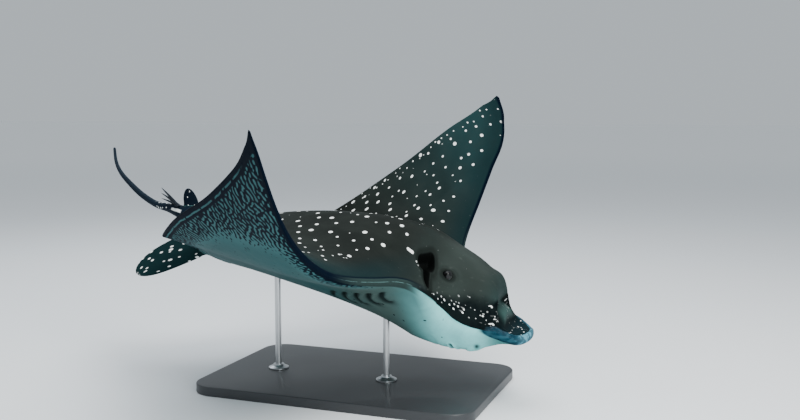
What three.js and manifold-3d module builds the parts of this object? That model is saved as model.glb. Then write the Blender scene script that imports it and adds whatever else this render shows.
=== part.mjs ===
// A spotted eagle ray (Aetobatus), life size, as a still display model that banks on a plain stand.
// Millimetres, +Z up. The nose points toward +X and the left fin toward +Y. The origin is on the
// floor, at the middle of the stand's base.
import * as THREE from 'three';
import { mergeVertices } from 'three/addons/utils/BufferGeometryUtils.js';
import Module from 'manifold-3d';

// ---- Driving dimensions ----------------------------------------------------------------------
const DISC_WIDTH = 1700;          // tip to tip over the flattened pectoral fins
const FIN_EDGE = 2;               // half the thickness of a free fin edge
const FIN_ROOT = 37;              // half the thickness of the fin sheet beside the trunk
const LIP = 13.5;                 // extra half thickness of the lip round the snout lobe
const GAP = 0.4;                  // clearance between neighbouring pieces

const NOSE_DOWN = 7.5;            // degrees, pitch on the stand
const LEFT_DOWN = 12.6;           // degrees, bank on the stand
const HEAD_TWIST = 15;            // degrees, the snout lobe rolled level against the bank
const CHIN_CLEARANCE = 95;        // from the lowest skin down to the base's top
const BASE_CENTRE_BACK = 460;     // from the snout tip back to the base's centre

const BASE = { length: 720, width: 460, corner: 60, height: 24 };
const ROD = { radius: 8, socket: 22, collarRadius: 26, collarHeight: 12 };
const ROD_STATIONS = { front: 0.215, rear: 0.400 };   // shares of the disc width behind the snout

const SPAN_STEPS = 25;            // facets from the midline to a fin tip
const SPAN_GATHER = 0.85;         // below 1, the facets are wider near the midline
const CHORD_STEPS = 18;           // facets from the front edge to the rear edge
const CHORD_GATHER = 1.5;         // above 1, the facets crowd toward the head

// ---- Body plan, in shares of the disc width ----------------------------------------------------
// Half outline of the disc: [distance back from the snout tip, distance from the midline].
// Snout lobe, side of the head, fin origin, leading edge, fin tip.
const FRONT_EDGE = [
  [0, 0], [0.0045, 0.020], [0.019, 0.039], [0.050, 0.048], [0.085, 0.062], [0.118, 0.088],
  [0.145, 0.142], [0.192, 0.235], [0.238, 0.340], [0.292, 0.435], [0.332, 0.482], [0.362, 0.500],
];
// Root of the tail, rounded inner lobe, trailing edge, fin tip.
const REAR_EDGE = [
  [0.535, 0], [0.533, 0.020], [0.528, 0.040], [0.534, 0.051], [0.547, 0.067], [0.550, 0.090],
  [0.535, 0.138], [0.483, 0.232], [0.412, 0.335], [0.372, 0.425], [0.363, 0.476], [0.366, 0.499],
];
// Stations along the midline: [distance back from the snout tip, value].
const CROWN = [
  [0, -0.045], [0.012, -0.0485], [0.024, -0.0475], [0.036, -0.040], [0.0455, -0.012],
  [0.056, 0.0115], [0.08, 0.028], [0.12, 0.044], [0.18, 0.060], [0.24, 0.065], [0.32, 0.061],
  [0.42, 0.049], [0.50, 0.034], [0.56, 0.022],
];
const KEEL = [
  [0, -0.045], [0.012, -0.0485], [0.03, -0.052], [0.06, -0.062], [0.085, -0.070], [0.105, -0.072],
  [0.14, -0.062], [0.20, -0.040], [0.27, -0.027], [0.36, -0.020], [0.46, -0.018], [0.56, -0.016],
];
const RIM_HEIGHT = [
  [0, -0.045], [0.012, -0.0445], [0.03, -0.039], [0.045, -0.0355], [0.065, -0.036],
  [0.09, -0.033], [0.118, -0.023], [0.16, -0.010], [0.23, 0], [0.6, 0],
];
const CROWN_HALF_WIDTH = [
  [0, 0.040], [0.03, 0.036], [0.05, 0.041], [0.08, 0.056], [0.11, 0.068], [0.15, 0.090],
  [0.22, 0.120], [0.30, 0.120], [0.40, 0.090], [0.48, 0.060], [0.56, 0.045],
];
const KEEL_HALF_WIDTH = [
  [0, 0.040], [0.06, 0.048], [0.10, 0.070], [0.15, 0.095], [0.22, 0.115], [0.30, 0.115],
  [0.40, 0.090], [0.48, 0.060], [0.56, 0.045],
];
const CROWN_STEEPNESS = [[0, 3], [0.03, 8], [0.06, 9], [0.12, 7], [0.2, 4], [0.3, 3.2], [0.56, 3]];
const KEEL_STEEPNESS = 4;
// Side of the head and then the leading edge, as half width at a distance back from the snout.
const SIDE = [
  [0, 0.004], [0.0045, 0.020], [0.010, 0.030], [0.019, 0.039], [0.034, 0.0455], [0.050, 0.048],
  [0.085, 0.062], [0.118, 0.088], [0.145, 0.142], [0.192, 0.235], [0.60, 1.0],
];

// ---- Pose: how far each pectoral fin bends up, in radians along its span ------------------------
const RIGHT_FIN = {
  side: -1, root: -0.307, bend: [1.071, 0.512, -0.769], twist: [-0.066, 0.904, -0.180],
  sweep: 0.694, trail: -0.006,
};
const LEFT_FIN = {
  side: 1, root: 0.648, bend: [1.170, 0.162, -1.166], twist: [-0.110, 1.279, 0.048],
  sweep: 0.978, trail: -0.105,
};
const FIN_HINGE = [[0.2, 0.10], [0.5, 0.05]];   // where the fin leaves the stiff trunk
const FIN_ARM = 0.4;                            // from that hinge to the tip
const HINGE_BLEND = 0.08;                       // over which the root's angle comes in
const SPINE = { middle: 0.30, forward: 0.109, backward: -0.303 };   // slight sag of the back

// ---- Small curve helpers ------------------------------------------------------------------------
const { clamp, lerp } = THREE.MathUtils;

/** Value at x of a smooth curve through [x, value] knots, flat at each turning point. */
function profile(knots, x) {
  const last = knots.length - 1;
  const at = clamp(x, knots[0][0], knots[last][0]);
  let i = 0;
  while (i < last - 1 && at > knots[i + 1][0]) i += 1;
  const grade = (k) => (knots[k + 1][1] - knots[k][1]) / (knots[k + 1][0] - knots[k][0]);
  const slope = (k) => {
    if (k === 0) return grade(0);
    if (k === last) return grade(last - 1);
    return grade(k - 1) * grade(k) <= 0 ? 0 : (grade(k - 1) + grade(k)) / 2;
  };
  const width = knots[i + 1][0] - knots[i][0];
  const f = (at - knots[i][0]) / width;
  return knots[i][1] * (1 + 2 * f) * (1 - f) ** 2 + width * slope(i) * f * (1 - f) ** 2
    + knots[i + 1][1] * f * f * (3 - 2 * f) + width * slope(i + 1) * f * f * (f - 1);
}

/** Point at t (0 to 1) of a Catmull-Rom curve that crosses the midline squarely at its start. */
function halfOutline(points, t) {
  const last = points.length - 1;
  const before = [points[1][0], -points[1][1]];
  const after = [0, 1].map((c) => 2 * points[last][c] - points[last - 1][c]);
  const all = [before, ...points, after];
  const x = clamp(t, 0, 1) * last;
  const i = Math.min(Math.floor(x), last - 1);
  const f = x - i;
  return [0, 1].map((c) => {
    const [a, b, d, e] = [all[i][c], all[i + 1][c], all[i + 2][c], all[i + 3][c]];
    return b + 0.5 * f * (d - a + f * (2 * a - 5 * b + 4 * d - e + f * (3 * (b - d) + e - a)));
  });
}

const smooth = (x) => clamp(x, 0, 1) ** 2 * (3 - 2 * clamp(x, 0, 1));
/** Quarter-round rise from 0 at the edge to 1 at x = 1. */
const roundEdge = (x) => Math.sqrt(1 - (1 - clamp(x, 0, 1)) ** 2);

// ---- Surface of the disc --------------------------------------------------------------------------
/** Upper and lower height of the unbent body at (back, out), for outline place t and chord place v. */
function bodyHeights(back, out, t, v) {
  const chord = halfOutline(REAR_EDGE, t)[0] - halfOutline(FRONT_EDGE, t)[0];
  const side = profile(SIDE, back);
  const toSide = back < 0.2 ? Math.max((side - out) * 0.9, 0) : Infinity;
  const inFromEdge = Math.min(v * chord, toSide);
  const taper = Math.sqrt(clamp(1 - clamp(out / side, 0, 1) ** 5, 0, 1));
  const tailward = roundEdge(((1 - v) * chord) / 0.05);

  const spanFade = (1 - clamp(out / 0.5, 0, 1)) ** 0.85;
  const camber = clamp(2.6 * Math.sqrt(v) * (1 - v), 0, 1);
  const sheet = FIN_EDGE / DISC_WIDTH
    + (FIN_ROOT / DISC_WIDTH) * spanFade * clamp((back - 0.04) / 0.12, 0, 1) * camber
    + (LIP / DISC_WIDTH) * clamp(1 - back / 0.13, 0, 1) * roundEdge(inFromEdge / 0.009);

  const middle = profile(RIM_HEIGHT, back) * clamp(1.7 - out / 0.10, 0, 1);
  const crown = profile(CROWN, back) - middle;
  const keel = profile(KEEL, back) - middle;
  const upSpread = 1 / (1 + (out / profile(CROWN_HALF_WIDTH, back)) ** profile(CROWN_STEEPNESS, back));
  const downSpread = 1 / (1 + (out / profile(KEEL_HALF_WIDTH, back)) ** KEEL_STEEPNESS);
  return {
    top: middle + sheet + crown * upSpread * (crown > 0 ? taper : 1) * tailward,
    bottom: middle - sheet + keel * downSpread * taper * tailward,
  };
}

/** Angle of the fin against the trunk at a distance out along its arm. */
function finAngle(fin, arm, back) {
  const share = arm / FIN_ARM;
  const chord = (back - 0.34) / 0.2;
  const beyondHinge = smooth(arm / HINGE_BLEND);
  const [b1, b2, b3] = fin.bend;
  const [c0, c1, c2] = fin.twist;
  return beyondHinge * (fin.root + chord * c0) + share * (b1 + share * (b2 + share * b3))
    + chord * share * (c1 + share * c2);
}

/** Where a point of the unbent body (back, across, up) lies once the fins and the back are bent. */
function bendBody(back, across, up) {
  const turn = THREE.MathUtils.degToRad(HEAD_TWIST) * smooth((0.15 - back) / 0.10);
  const pivot = -0.036;
  const y = across * Math.cos(turn) - (up - pivot) * Math.sin(turn);
  const z = pivot + (up - pivot) * Math.cos(turn) + across * Math.sin(turn);

  const fin = y < 0 ? RIGHT_FIN : LEFT_FIN;
  const hinge = lerp(FIN_HINGE[0][1], FIN_HINGE[1][1],
    clamp((back - FIN_HINGE[0][0]) / (FIN_HINGE[1][0] - FIN_HINGE[0][0]), 0, 1));
  const arm = Math.max(Math.abs(y) - hinge, 0);
  let outward = Math.min(Math.abs(y), hinge);
  let height = 0;
  const steps = 12;
  for (let i = 0; i < steps; i += 1) {
    const angle = finAngle(fin, (arm * (i + 0.5)) / steps, back);
    outward += (Math.cos(angle) * arm) / steps;
    height += (Math.sin(angle) * arm) / steps;
  }
  const angle = finAngle(fin, arm, back);
  const swept = back - fin.sweep * arm * arm
    + fin.trail * Math.sin(Math.PI * clamp(arm / FIN_ARM, 0, 1)) * clamp((back - 0.34) / 0.2 + 0.3, 0, 2);
  height += Math.cos(angle) * z;
  outward -= Math.sin(angle) * z;

  const along = swept - SPINE.middle;
  const sag = along < 0 ? SPINE.forward : SPINE.backward;
  const lean = sag * along;
  return new THREE.Vector3(
    -SPINE.middle - Math.sin(lean) / sag + Math.sin(lean) * height,
    fin.side * outward,
    (1 - Math.cos(lean)) / sag + Math.cos(lean) * height,
  );
}

// ---- From the body's own frame to the stand ---------------------------------------------------------
/** Turns bent-body coordinates, in disc widths from the snout, into millimetres over the floor. */
function standMatrix(lift) {
  const turn = new THREE.Matrix4().makeRotationY(THREE.MathUtils.degToRad(NOSE_DOWN))
    .multiply(new THREE.Matrix4().makeRotationX(THREE.MathUtils.degToRad(-LEFT_DOWN)));
  return new THREE.Matrix4().makeTranslation(BASE_CENTRE_BACK, 0, lift)
    .multiply(turn)
    .multiply(new THREE.Matrix4().makeScale(DISC_WIDTH, DISC_WIDTH, DISC_WIDTH));
}

/** Body surface point in bent-body coordinates; t runs over both sides, from -1 to 1. */
function discPoint(t, v, upper) {
  const [frontBack, frontOut] = halfOutline(FRONT_EDGE, Math.abs(t));
  const [rearBack, rearOut] = halfOutline(REAR_EDGE, Math.abs(t));
  const back = lerp(frontBack, rearBack, v);
  const out = lerp(frontOut, rearOut, v);
  const heights = bodyHeights(back, out, Math.abs(t), v);
  return bendBody(back, Math.sign(t) * out, upper ? heights.top : heights.bottom);
}

/** Lowest height of the disc over the floor when the snout tip is on it. */
function lowestPoint() {
  const matrix = standMatrix(0);
  let lowest = Infinity;
  for (let i = -SPAN_STEPS; i <= SPAN_STEPS; i += 1) {
    for (let j = 0; j <= CHORD_STEPS; j += 1) {
      const point = discPoint(i / SPAN_STEPS, j / CHORD_STEPS, false).applyMatrix4(matrix);
      lowest = Math.min(lowest, point.z);
    }
  }
  return lowest;
}

const TO_WORLD = standMatrix(BASE.height + CHIN_CLEARANCE - lowestPoint());

// ---- Solids ----------------------------------------------------------------------------------------
const wasm = await Module();
wasm.setup();

/** Six times the volume that an indexed geometry encloses, negative where its faces point in. */
function enclosed(geometry) {
  const [a, b, c] = [0, 1, 2].map(() => new THREE.Vector3());
  const { position } = geometry.attributes;
  let sum = 0;
  for (let i = 0; i < geometry.index.count; i += 3) {
    [a, b, c].forEach((corner, k) => corner.fromBufferAttribute(position, geometry.index.getX(i + k)));
    sum += a.dot(b.cross(c));
  }
  return sum;
}

/** A closed geometry as a solid that can be joined and cut, with its faces turned outward. */
function solidOf(geometry) {
  const bare = geometry.clone();
  bare.deleteAttribute('normal');
  bare.deleteAttribute('uv');
  const merged = mergeVertices(bare, 1e-4);
  const triVerts = new Uint32Array(merged.index.array);
  if (enclosed(merged) < 0) triVerts.reverse();
  const vertProperties = new Float32Array(merged.attributes.position.array);
  return new wasm.Manifold(new wasm.Mesh({ numProp: 3, vertProperties, triVerts }));
}

function geometryOf(solid) {
  const { vertProperties, triVerts, numProp } = solid.getMesh();
  const positions = new Float32Array((vertProperties.length / numProp) * 3);
  for (let i = 0; i < positions.length / 3; i += 1) {
    for (let c = 0; c < 3; c += 1) positions[i * 3 + c] = vertProperties[i * numProp + c];
  }
  const geometry = new THREE.BufferGeometry();
  geometry.setAttribute('position', new THREE.BufferAttribute(positions, 3));
  geometry.setIndex(new THREE.BufferAttribute(new Uint32Array(triVerts), 1));
  geometry.computeVertexNormals();
  return geometry;
}

/** Closed skin over two grids of points, upper and lower, that share the same layout. */
function shellGeometry(columns, rows, pointAt) {
  const positions = [];
  const index = [];
  for (const upper of [true, false]) {
    for (let i = 0; i <= columns; i += 1) {
      for (let j = 0; j <= rows; j += 1) positions.push(...pointAt(i / columns, j / rows, upper).toArray());
    }
  }
  const layer = (columns + 1) * (rows + 1);
  const at = (i, j, upper) => i * (rows + 1) + j + (upper ? 0 : layer);
  const quad = (a, b, c, d) => index.push(a, b, c, a, c, d);
  for (let i = 0; i < columns; i += 1) {
    for (let j = 0; j < rows; j += 1) {
      quad(at(i, j, true), at(i, j + 1, true), at(i + 1, j + 1, true), at(i + 1, j, true));
      quad(at(i, j, false), at(i + 1, j, false), at(i + 1, j + 1, false), at(i, j + 1, false));
    }
    quad(at(i, 0, true), at(i + 1, 0, true), at(i + 1, 0, false), at(i, 0, false));
    quad(at(i, rows, true), at(i, rows, false), at(i + 1, rows, false), at(i + 1, rows, true));
  }
  for (let j = 0; j < rows; j += 1) {
    quad(at(0, j, true), at(0, j, false), at(0, j + 1, false), at(0, j + 1, true));
    quad(at(columns, j, true), at(columns, j + 1, true), at(columns, j + 1, false), at(columns, j, false));
  }
  const geometry = new THREE.BufferGeometry();
  geometry.setAttribute('position', new THREE.BufferAttribute(new Float32Array(positions), 3));
  geometry.setIndex(index);
  return geometry;
}

function discSolid() {
  const geometry = shellGeometry(2 * SPAN_STEPS, CHORD_STEPS, (i, j, upper) => {
    const across = 2 * i - 1;
    const t = Math.sign(across) * Math.abs(across) ** SPAN_GATHER;
    return discPoint(t, j ** CHORD_GATHER, upper).applyMatrix4(TO_WORLD);
  });
  return solidOf(geometry);
}

/** Bent-body point in millimetres over the floor. */
const placed = ([back, across, up]) => new THREE.Vector3(-back, across, up).applyMatrix4(TO_WORLD);
/** Bent-body direction, turned with the body. */
const turned = ([back, across, up]) => new THREE.Vector3(-back, across, up).transformDirection(TO_WORLD);

/**
 * A small fin: a leaf from its root line to its tip, thickest at the root. The root runs from
 * rootFront to rootRear, round is how blunt the tip is and edge the half thickness at its rim.
 */
function leafSolid({ rootFront, rootRear, tip, round, thick, edge, lean = 0 }) {
  const front = placed(rootFront);
  const rear = placed(rootRear);
  const end = placed(tip);
  const middle = front.clone().add(rear).multiplyScalar(0.5);
  const chord = rear.clone().sub(front);
  const normal = chord.clone().cross(end.clone().sub(middle)).normalize();
  const geometry = shellGeometry(8, 6, (i, j, upper) => {
    const across = 2 * j - 1;
    const width = Math.max((1 - i ** round) ** 0.5, 0.04);
    const centre = middle.clone().lerp(end, i).addScaledVector(chord, lean * Math.sin(Math.PI * i));
    const half = edge + (thick - edge) * (1 - i) * Math.sqrt(1 - across * across * 0.98);
    return centre.addScaledVector(chord, (across / 2) * width)
      .addScaledVector(normal, upper ? half : -half);
  });
  return solidOf(geometry);
}

/** A solid bar through bent-body points that narrows from one radius to another. */
function taperedBar(points, startRadius, endRadius, sides, steps) {
  const curve = new THREE.CatmullRomCurve3(points.map(placed));
  const frames = curve.computeFrenetFrames(steps, false);
  const positions = [];
  const index = [];
  const centres = curve.getSpacedPoints(steps);
  centres.forEach((centre, i) => {
    const radius = lerp(startRadius, endRadius, i / steps);
    for (let k = 0; k < sides; k += 1) {
      const angle = (2 * Math.PI * k) / sides;
      const point = centre.clone()
        .addScaledVector(frames.normals[i], Math.cos(angle) * radius)
        .addScaledVector(frames.binormals[i], Math.sin(angle) * radius);
      positions.push(...point.toArray());
    }
  });
  const first = positions.length / 3;
  positions.push(...centres[0].toArray(), ...centres[steps].toArray());
  for (let i = 0; i < steps; i += 1) {
    for (let k = 0; k < sides; k += 1) {
      const [a, b] = [i * sides + k, i * sides + ((k + 1) % sides)];
      index.push(a, b, b + sides, a, b + sides, a + sides);
    }
  }
  for (let k = 0; k < sides; k += 1) {
    const next = (k + 1) % sides;
    index.push(first, next, k, first + 1, steps * sides + k, steps * sides + next);
  }
  const geometry = new THREE.BufferGeometry();
  geometry.setAttribute('position', new THREE.BufferAttribute(new Float32Array(positions), 3));
  geometry.setIndex(index);
  return solidOf(geometry);
}

/** Block between bent-body limits, for taking a region out of the flesh. */
function region({ back, across, up }) {
  const box = new THREE.BoxGeometry(back[1] - back[0], across[1] - across[0], up[1] - up[0]);
  box.translate(-(back[0] + back[1]) / 2, (across[0] + across[1]) / 2, (up[0] + up[1]) / 2);
  box.applyMatrix4(TO_WORLD);
  return solidOf(box);
}

/** Slab across the tail or the trunk at a point, square to a direction. */
function cutAcross(point, direction, size) {
  const slab = new THREE.BoxGeometry(size, size, GAP);
  const turn = new THREE.Quaternion().setFromUnitVectors(new THREE.Vector3(0, 0, 1), direction);
  slab.applyQuaternion(turn);
  slab.translate(point.x, point.y, point.z);
  return solidOf(slab);
}

/** Place on the unbent head, bent with it and set over the floor. */
const onHead = (side, [back, out, up]) => bendBody(back, side * out, up).applyMatrix4(TO_WORLD);

function eyeSolid(side, extra = 0) {
  const ball = new THREE.SphereGeometry(EYE.radius + extra, 12, 8);
  ball.translate(...onHead(side, EYE.at).toArray());
  return solidOf(ball);
}

/** The hollow of a spiracle: an ellipsoid whose long axis runs down and forward. */
function spiracleSolid(side) {
  const centre = onHead(side, SPIRACLE.at);
  const [back, out, up] = SPIRACLE.slant;
  const along = turned([back, side * out, up]);
  const inward = centre.clone().sub(placed([SPIRACLE.at[0], 0, 0])).normalize();
  const across = along.clone().cross(inward).normalize();
  const depth = across.clone().cross(along);
  const hollow = new THREE.SphereGeometry(1, 12, 8);
  hollow.applyMatrix4(new THREE.Matrix4().makeBasis(
    along.multiplyScalar(SPIRACLE.length),
    across.multiplyScalar(SPIRACLE.width),
    depth.multiplyScalar(SPIRACLE.depth),
  ));
  hollow.translate(centre.x, centre.y, centre.z);
  return solidOf(hollow);
}

// ---- Materials --------------------------------------------------------------------------------------
const finish = (color, roughness, metalness = 0) => ({ color, roughness, metalness });
const SKIN = finish(0x3d433f, 0.45);
const SPINE_BONE = finish(0x23272b, 0.5);
const EYE_GLASS = finish(0x0c0d0e, 0.1);
const STAND_PAINT = finish(0x2b2d30, 0.5);
const STEEL = finish(0xb8bcc0, 0.3, 1);

// ---- Tail, fins and spines ----------------------------------------------------------------------------
// Bent-body points [back, across, up]: the tail rises from the hips and swings out to the left.
const TAIL_ROUTE = [
  [0.500, 0, 0.014], [0.546, 0, 0.031], [0.590, 0.008, 0.034], [0.627, 0.028, 0.037],
  [0.669, 0.055, 0.039], [0.736, 0.106, 0.051], [0.808, 0.164, 0.070], [0.870, 0.219, 0.088],
  [0.937, 0.289, 0.111], [1.007, 0.369, 0.144],
];
const TAIL_STUMP = { from: 0.022 * DISC_WIDTH, to: 0.0065 * DISC_WIDTH };
const TAIL_WHIP = { from: 0.0058 * DISC_WIDTH, to: 0.0028 * DISC_WIDTH };

function tailSolid() {
  const stump = taperedBar(TAIL_ROUTE.slice(0, 4), TAIL_STUMP.from, TAIL_STUMP.to, 10, 6);
  const whip = taperedBar(TAIL_ROUTE.slice(1), TAIL_WHIP.from, TAIL_WHIP.to, 8, 20);
  return stump.add(whip);
}

// The right pelvic fin is lowered in the turn, and the left one trails behind the hips.
const PELVIC_TIP = { right: [0.606, -0.052, -0.075], left: [0.614, 0.062, -0.030] };
const pelvicFin = (side) => leafSolid({
  rootFront: [0.498, side * 0.026, -0.014], rootRear: [0.566, side * 0.018, -0.002],
  tip: side < 0 ? PELVIC_TIP.right : PELVIC_TIP.left,
  round: 2.4, thick: 0.0065 * DISC_WIDTH, edge: 1.6, lean: 0.06,
});

const dorsalFin = () => leafSolid({
  rootFront: [0.548, 0, 0.036], rootRear: [0.580, 0, 0.036], tip: [0.583, 0, 0.073],
  round: 2.4, thick: 0.004 * DISC_WIDTH, edge: 1.4,
});

const SPINE_ROOT = [0.594, 0.006, 0.041];
const SPINE_SPACING = 0.0062;
const SPINE_TIPS = [[0.629, -0.006, 0.066], [0.635, 0.006, 0.058], [0.643, 0.022, 0.050]];
const SPINE_RADII = { root: 0.0020 * DISC_WIDTH, tip: 0.4 };

// Each eye and spiracle by its place on the unbent head: [back, out, up].
const EYE = { at: [0.116, 0.0630, 0.0200], radius: 0.0078 * DISC_WIDTH };
const SPIRACLE = {
  at: [0.139, 0.083, 0.0295], slant: [-0.80, 0.18, -0.62],
  length: 0.0150 * DISC_WIDTH, width: 0.0065 * DISC_WIDTH, depth: 0.0105 * DISC_WIDTH,
};

// ---- Stand ---------------------------------------------------------------------------------------------
const BASE_EDGE = 3;              // bevel round the base's upper and lower edges
const TOUCH = 0.3;                // clearance where two stand pieces meet

function baseGeometry() {
  const { length, width, corner, height } = BASE;
  const [x, y] = [length / 2 - BASE_EDGE, width / 2 - BASE_EDGE];
  const outline = new THREE.Shape();
  outline.absarc(x - corner, y - corner, corner, 0, Math.PI / 2);
  outline.absarc(corner - x, y - corner, corner, Math.PI / 2, Math.PI);
  outline.absarc(corner - x, corner - y, corner, Math.PI, 1.5 * Math.PI);
  outline.absarc(x - corner, corner - y, corner, 1.5 * Math.PI, 2 * Math.PI);
  outline.closePath();
  const geometry = new THREE.ExtrudeGeometry(outline, {
    depth: height - 2 * BASE_EDGE, bevelThickness: BASE_EDGE, bevelSize: BASE_EDGE,
    bevelSegments: 1, curveSegments: 6,
  });
  return geometry.translate(0, 0, BASE_EDGE);
}

/** Where a rod's axis stands, and the height of the skin that it meets. */
function rodPlace(back) {
  const v = back / REAR_EDGE[0][0];
  return bendBody(back, 0, bodyHeights(back, 0, 0, v).bottom).applyMatrix4(TO_WORLD);
}

function rodGeometry(place, extra = 0) {
  const foot = BASE.height + TOUCH;
  const length = place.z + ROD.socket + extra - foot;
  const rod = new THREE.CylinderGeometry(ROD.radius + extra, ROD.radius + extra, length, 16);
  return rod.rotateX(Math.PI / 2).translate(place.x, place.y, foot + length / 2);
}

function collarGeometry(place) {
  const inner = ROD.radius + TOUCH;
  const { collarRadius, collarHeight } = ROD;
  const section = [
    [inner, 0], [collarRadius, 0], [collarRadius, collarHeight * 0.5],
    [collarRadius * 0.6, collarHeight], [inner, collarHeight], [inner, 0],
  ].map(([radius, height]) => new THREE.Vector2(radius, height));
  const collar = new THREE.LatheGeometry(section, 16);
  return collar.rotateX(Math.PI / 2).translate(place.x, place.y, BASE.height + TOUCH);
}

// ---- Cutting the body into its named parts --------------------------------------------------------------
// The line in plan where each pectoral fin is parted from the trunk: [back, out].
const FIN_PARTING = [[0.05, 0.110], [0.70, 0.0205]];
const BILL_CUT = 0.043;
const NECK_CUT = 0.180;
const WAIST_CUT = 0.340;
const TAIL_CUT = 0.545;
const TAIL_SHARES = [0.42, 0.71];   // of the tail's length, from inside the hips
const TAIL_SLAB = 90;               // wider than the tail, and clear of the fins

function finRegion(side, inset) {
  const shift = inset / DISC_WIDTH;
  const [[frontBack, frontOut], [rearBack, rearOut]] = FIN_PARTING;
  const outline = new THREE.Shape([
    new THREE.Vector2(-frontBack, side * (frontOut + shift)),
    new THREE.Vector2(-rearBack, side * (rearOut + shift)),
    new THREE.Vector2(-rearBack, side * 0.7),
    new THREE.Vector2(-frontBack, side * 0.7),
  ]);
  const prism = new THREE.ExtrudeGeometry(outline, { depth: 1.2, bevelEnabled: false });
  prism.translate(0, 0, -0.4);
  prism.applyMatrix4(TO_WORLD);
  return solidOf(prism);
}

const disc = discSolid();
const pectorals = {
  left: disc.intersect(finRegion(1, GAP / 2)),
  right: disc.intersect(finRegion(-1, GAP / 2)),
};
let core = disc.subtract(finRegion(1, -GAP / 2)).subtract(finRegion(-1, -GAP / 2));

// The small fins and the tail grow out of the core and are then parted from it.
core = core.add(tailSolid()).add(pelvicFin(1)).add(pelvicFin(-1)).add(dorsalFin());

/** Takes blocks out of the core as one piece, and leaves the gap round them. */
function partOff(blocks) {
  const grown = (range) => [range[0] - GAP / DISC_WIDTH, range[1] + GAP / DISC_WIDTH];
  const joined = (list) => list.map(region).reduce((all, block) => all.add(block));
  const piece = core.intersect(joined(blocks));
  core = core.subtract(joined(blocks.map(({ back, across, up }) => (
    { back: grown(back), across: grown(across), up: grown(up) }))));
  return piece;
}

const dorsal = partOff([{ back: [0.530, 0.606], across: [-0.01, 0.012], up: [0.0465, 0.09] }]);
const ordered = (side, inner, outer) => [side * inner, side * outer].sort((a, b) => a - b);
const pelvic = (side) => partOff([
  { back: [0.490, 0.640], across: ordered(side, 0.030, 0.120), up: [-0.110, 0.004] },
  { back: [TAIL_CUT, 0.640], across: ordered(side, 0.0004, 0.040), up: [-0.110, 0.010] },
]);
const pelvics = { left: pelvic(1), right: pelvic(-1) };

// Sockets, spiracles and stand rods.
const rodPlaces = { front: rodPlace(ROD_STATIONS.front), rear: rodPlace(ROD_STATIONS.rear) };
for (const place of Object.values(rodPlaces)) core = core.subtract(solidOf(rodGeometry(place, GAP)));
for (const side of [1, -1]) core = core.subtract(eyeSolid(side, GAP)).subtract(spiracleSolid(side));

// Cuts square to the back, and then square to the tail at shares of its length.
const backAxis = turned([-1, 0, 0]);
for (const back of [BILL_CUT, NECK_CUT, WAIST_CUT]) {
  core = core.subtract(cutAcross(placed([back, 0, 0]), backAxis, DISC_WIDTH));
}
core = core.subtract(region({
  back: [TAIL_CUT, TAIL_CUT + GAP / DISC_WIDTH], across: [-0.03, 0.03], up: [-0.04, 0.09],
}));
const tailCurve = new THREE.CatmullRomCurve3(TAIL_ROUTE.map(placed));
for (const share of TAIL_SHARES) {
  const [point, direction] = [tailCurve.getPointAt(share), tailCurve.getTangentAt(share)];
  core = core.subtract(cutAcross(point, direction, TAIL_SLAB));
}

const middleX = (piece) => (piece.boundingBox().max[0] + piece.boundingBox().min[0]) / 2;
const lengths = core.decompose().sort((a, b) => middleX(b) - middleX(a));
const LENGTH_NAMES = ['rostral_lobe', 'head', 'trunk', 'hips', 'tail_base', 'tail_middle', 'tail_tip'];
if (lengths.length !== LENGTH_NAMES.length) throw new Error(`the body fell into ${lengths.length} lengths`);

// ---- The model --------------------------------------------------------------------------------------------
const model = new THREE.Group();
const add = (name, geometry, look) => {
  const mesh = new THREE.Mesh(geometry, new THREE.MeshStandardMaterial(look));
  mesh.name = name;
  model.add(mesh);
};

LENGTH_NAMES.forEach((name, i) => add(name, geometryOf(lengths[i]), SKIN));
for (const [side, solid] of Object.entries(pectorals)) add(`pectoral_fin_${side}`, geometryOf(solid), SKIN);
for (const [side, solid] of Object.entries(pelvics)) add(`pelvic_fin_${side}`, geometryOf(solid), SKIN);
add('dorsal_fin', geometryOf(dorsal), SKIN);

const tailFlesh = lengths[LENGTH_NAMES.indexOf('tail_base')];
const lifted = turned([0, 0, 1]).multiplyScalar(GAP).toArray();
SPINE_TIPS.forEach((tip, i) => {
  const root = [SPINE_ROOT[0], SPINE_ROOT[1] + SPINE_SPACING * (i - 1), SPINE_ROOT[2]];
  const spine = taperedBar([root, tip], SPINE_RADII.root, SPINE_RADII.tip, 6, 3);
  const clear = spine.subtract(tailFlesh).subtract(tailFlesh.translate(lifted));
  add(`tail_spine_${i + 1}`, geometryOf(clear), SPINE_BONE);
});

add('eye_left', geometryOf(eyeSolid(1)), EYE_GLASS);
add('eye_right', geometryOf(eyeSolid(-1)), EYE_GLASS);

add('stand_base', baseGeometry(), STAND_PAINT);
for (const [end, place] of Object.entries(rodPlaces)) {
  add(`stand_rod_${end}`, rodGeometry(place), STEEL);
  add(`stand_collar_${end}`, collarGeometry(place), STEEL);
}

export default model;
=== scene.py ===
"""A life-size spotted eagle ray, banking with both fins raised, on a plain stand.

Laid out as an add-on: a property group and an operator for each group of pieces, one for the
stage, and a sidebar panel that lists them. Run as a script it makes the whole scene.
"""

import math
from collections import namedtuple
from contextlib import contextmanager
from types import SimpleNamespace

import bmesh
import bpy
import numpy as np
from bpy.props import FloatProperty, FloatVectorProperty, IntProperty, PointerProperty
from mathutils import Matrix, Vector
from mathutils.kdtree import KDTree


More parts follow.
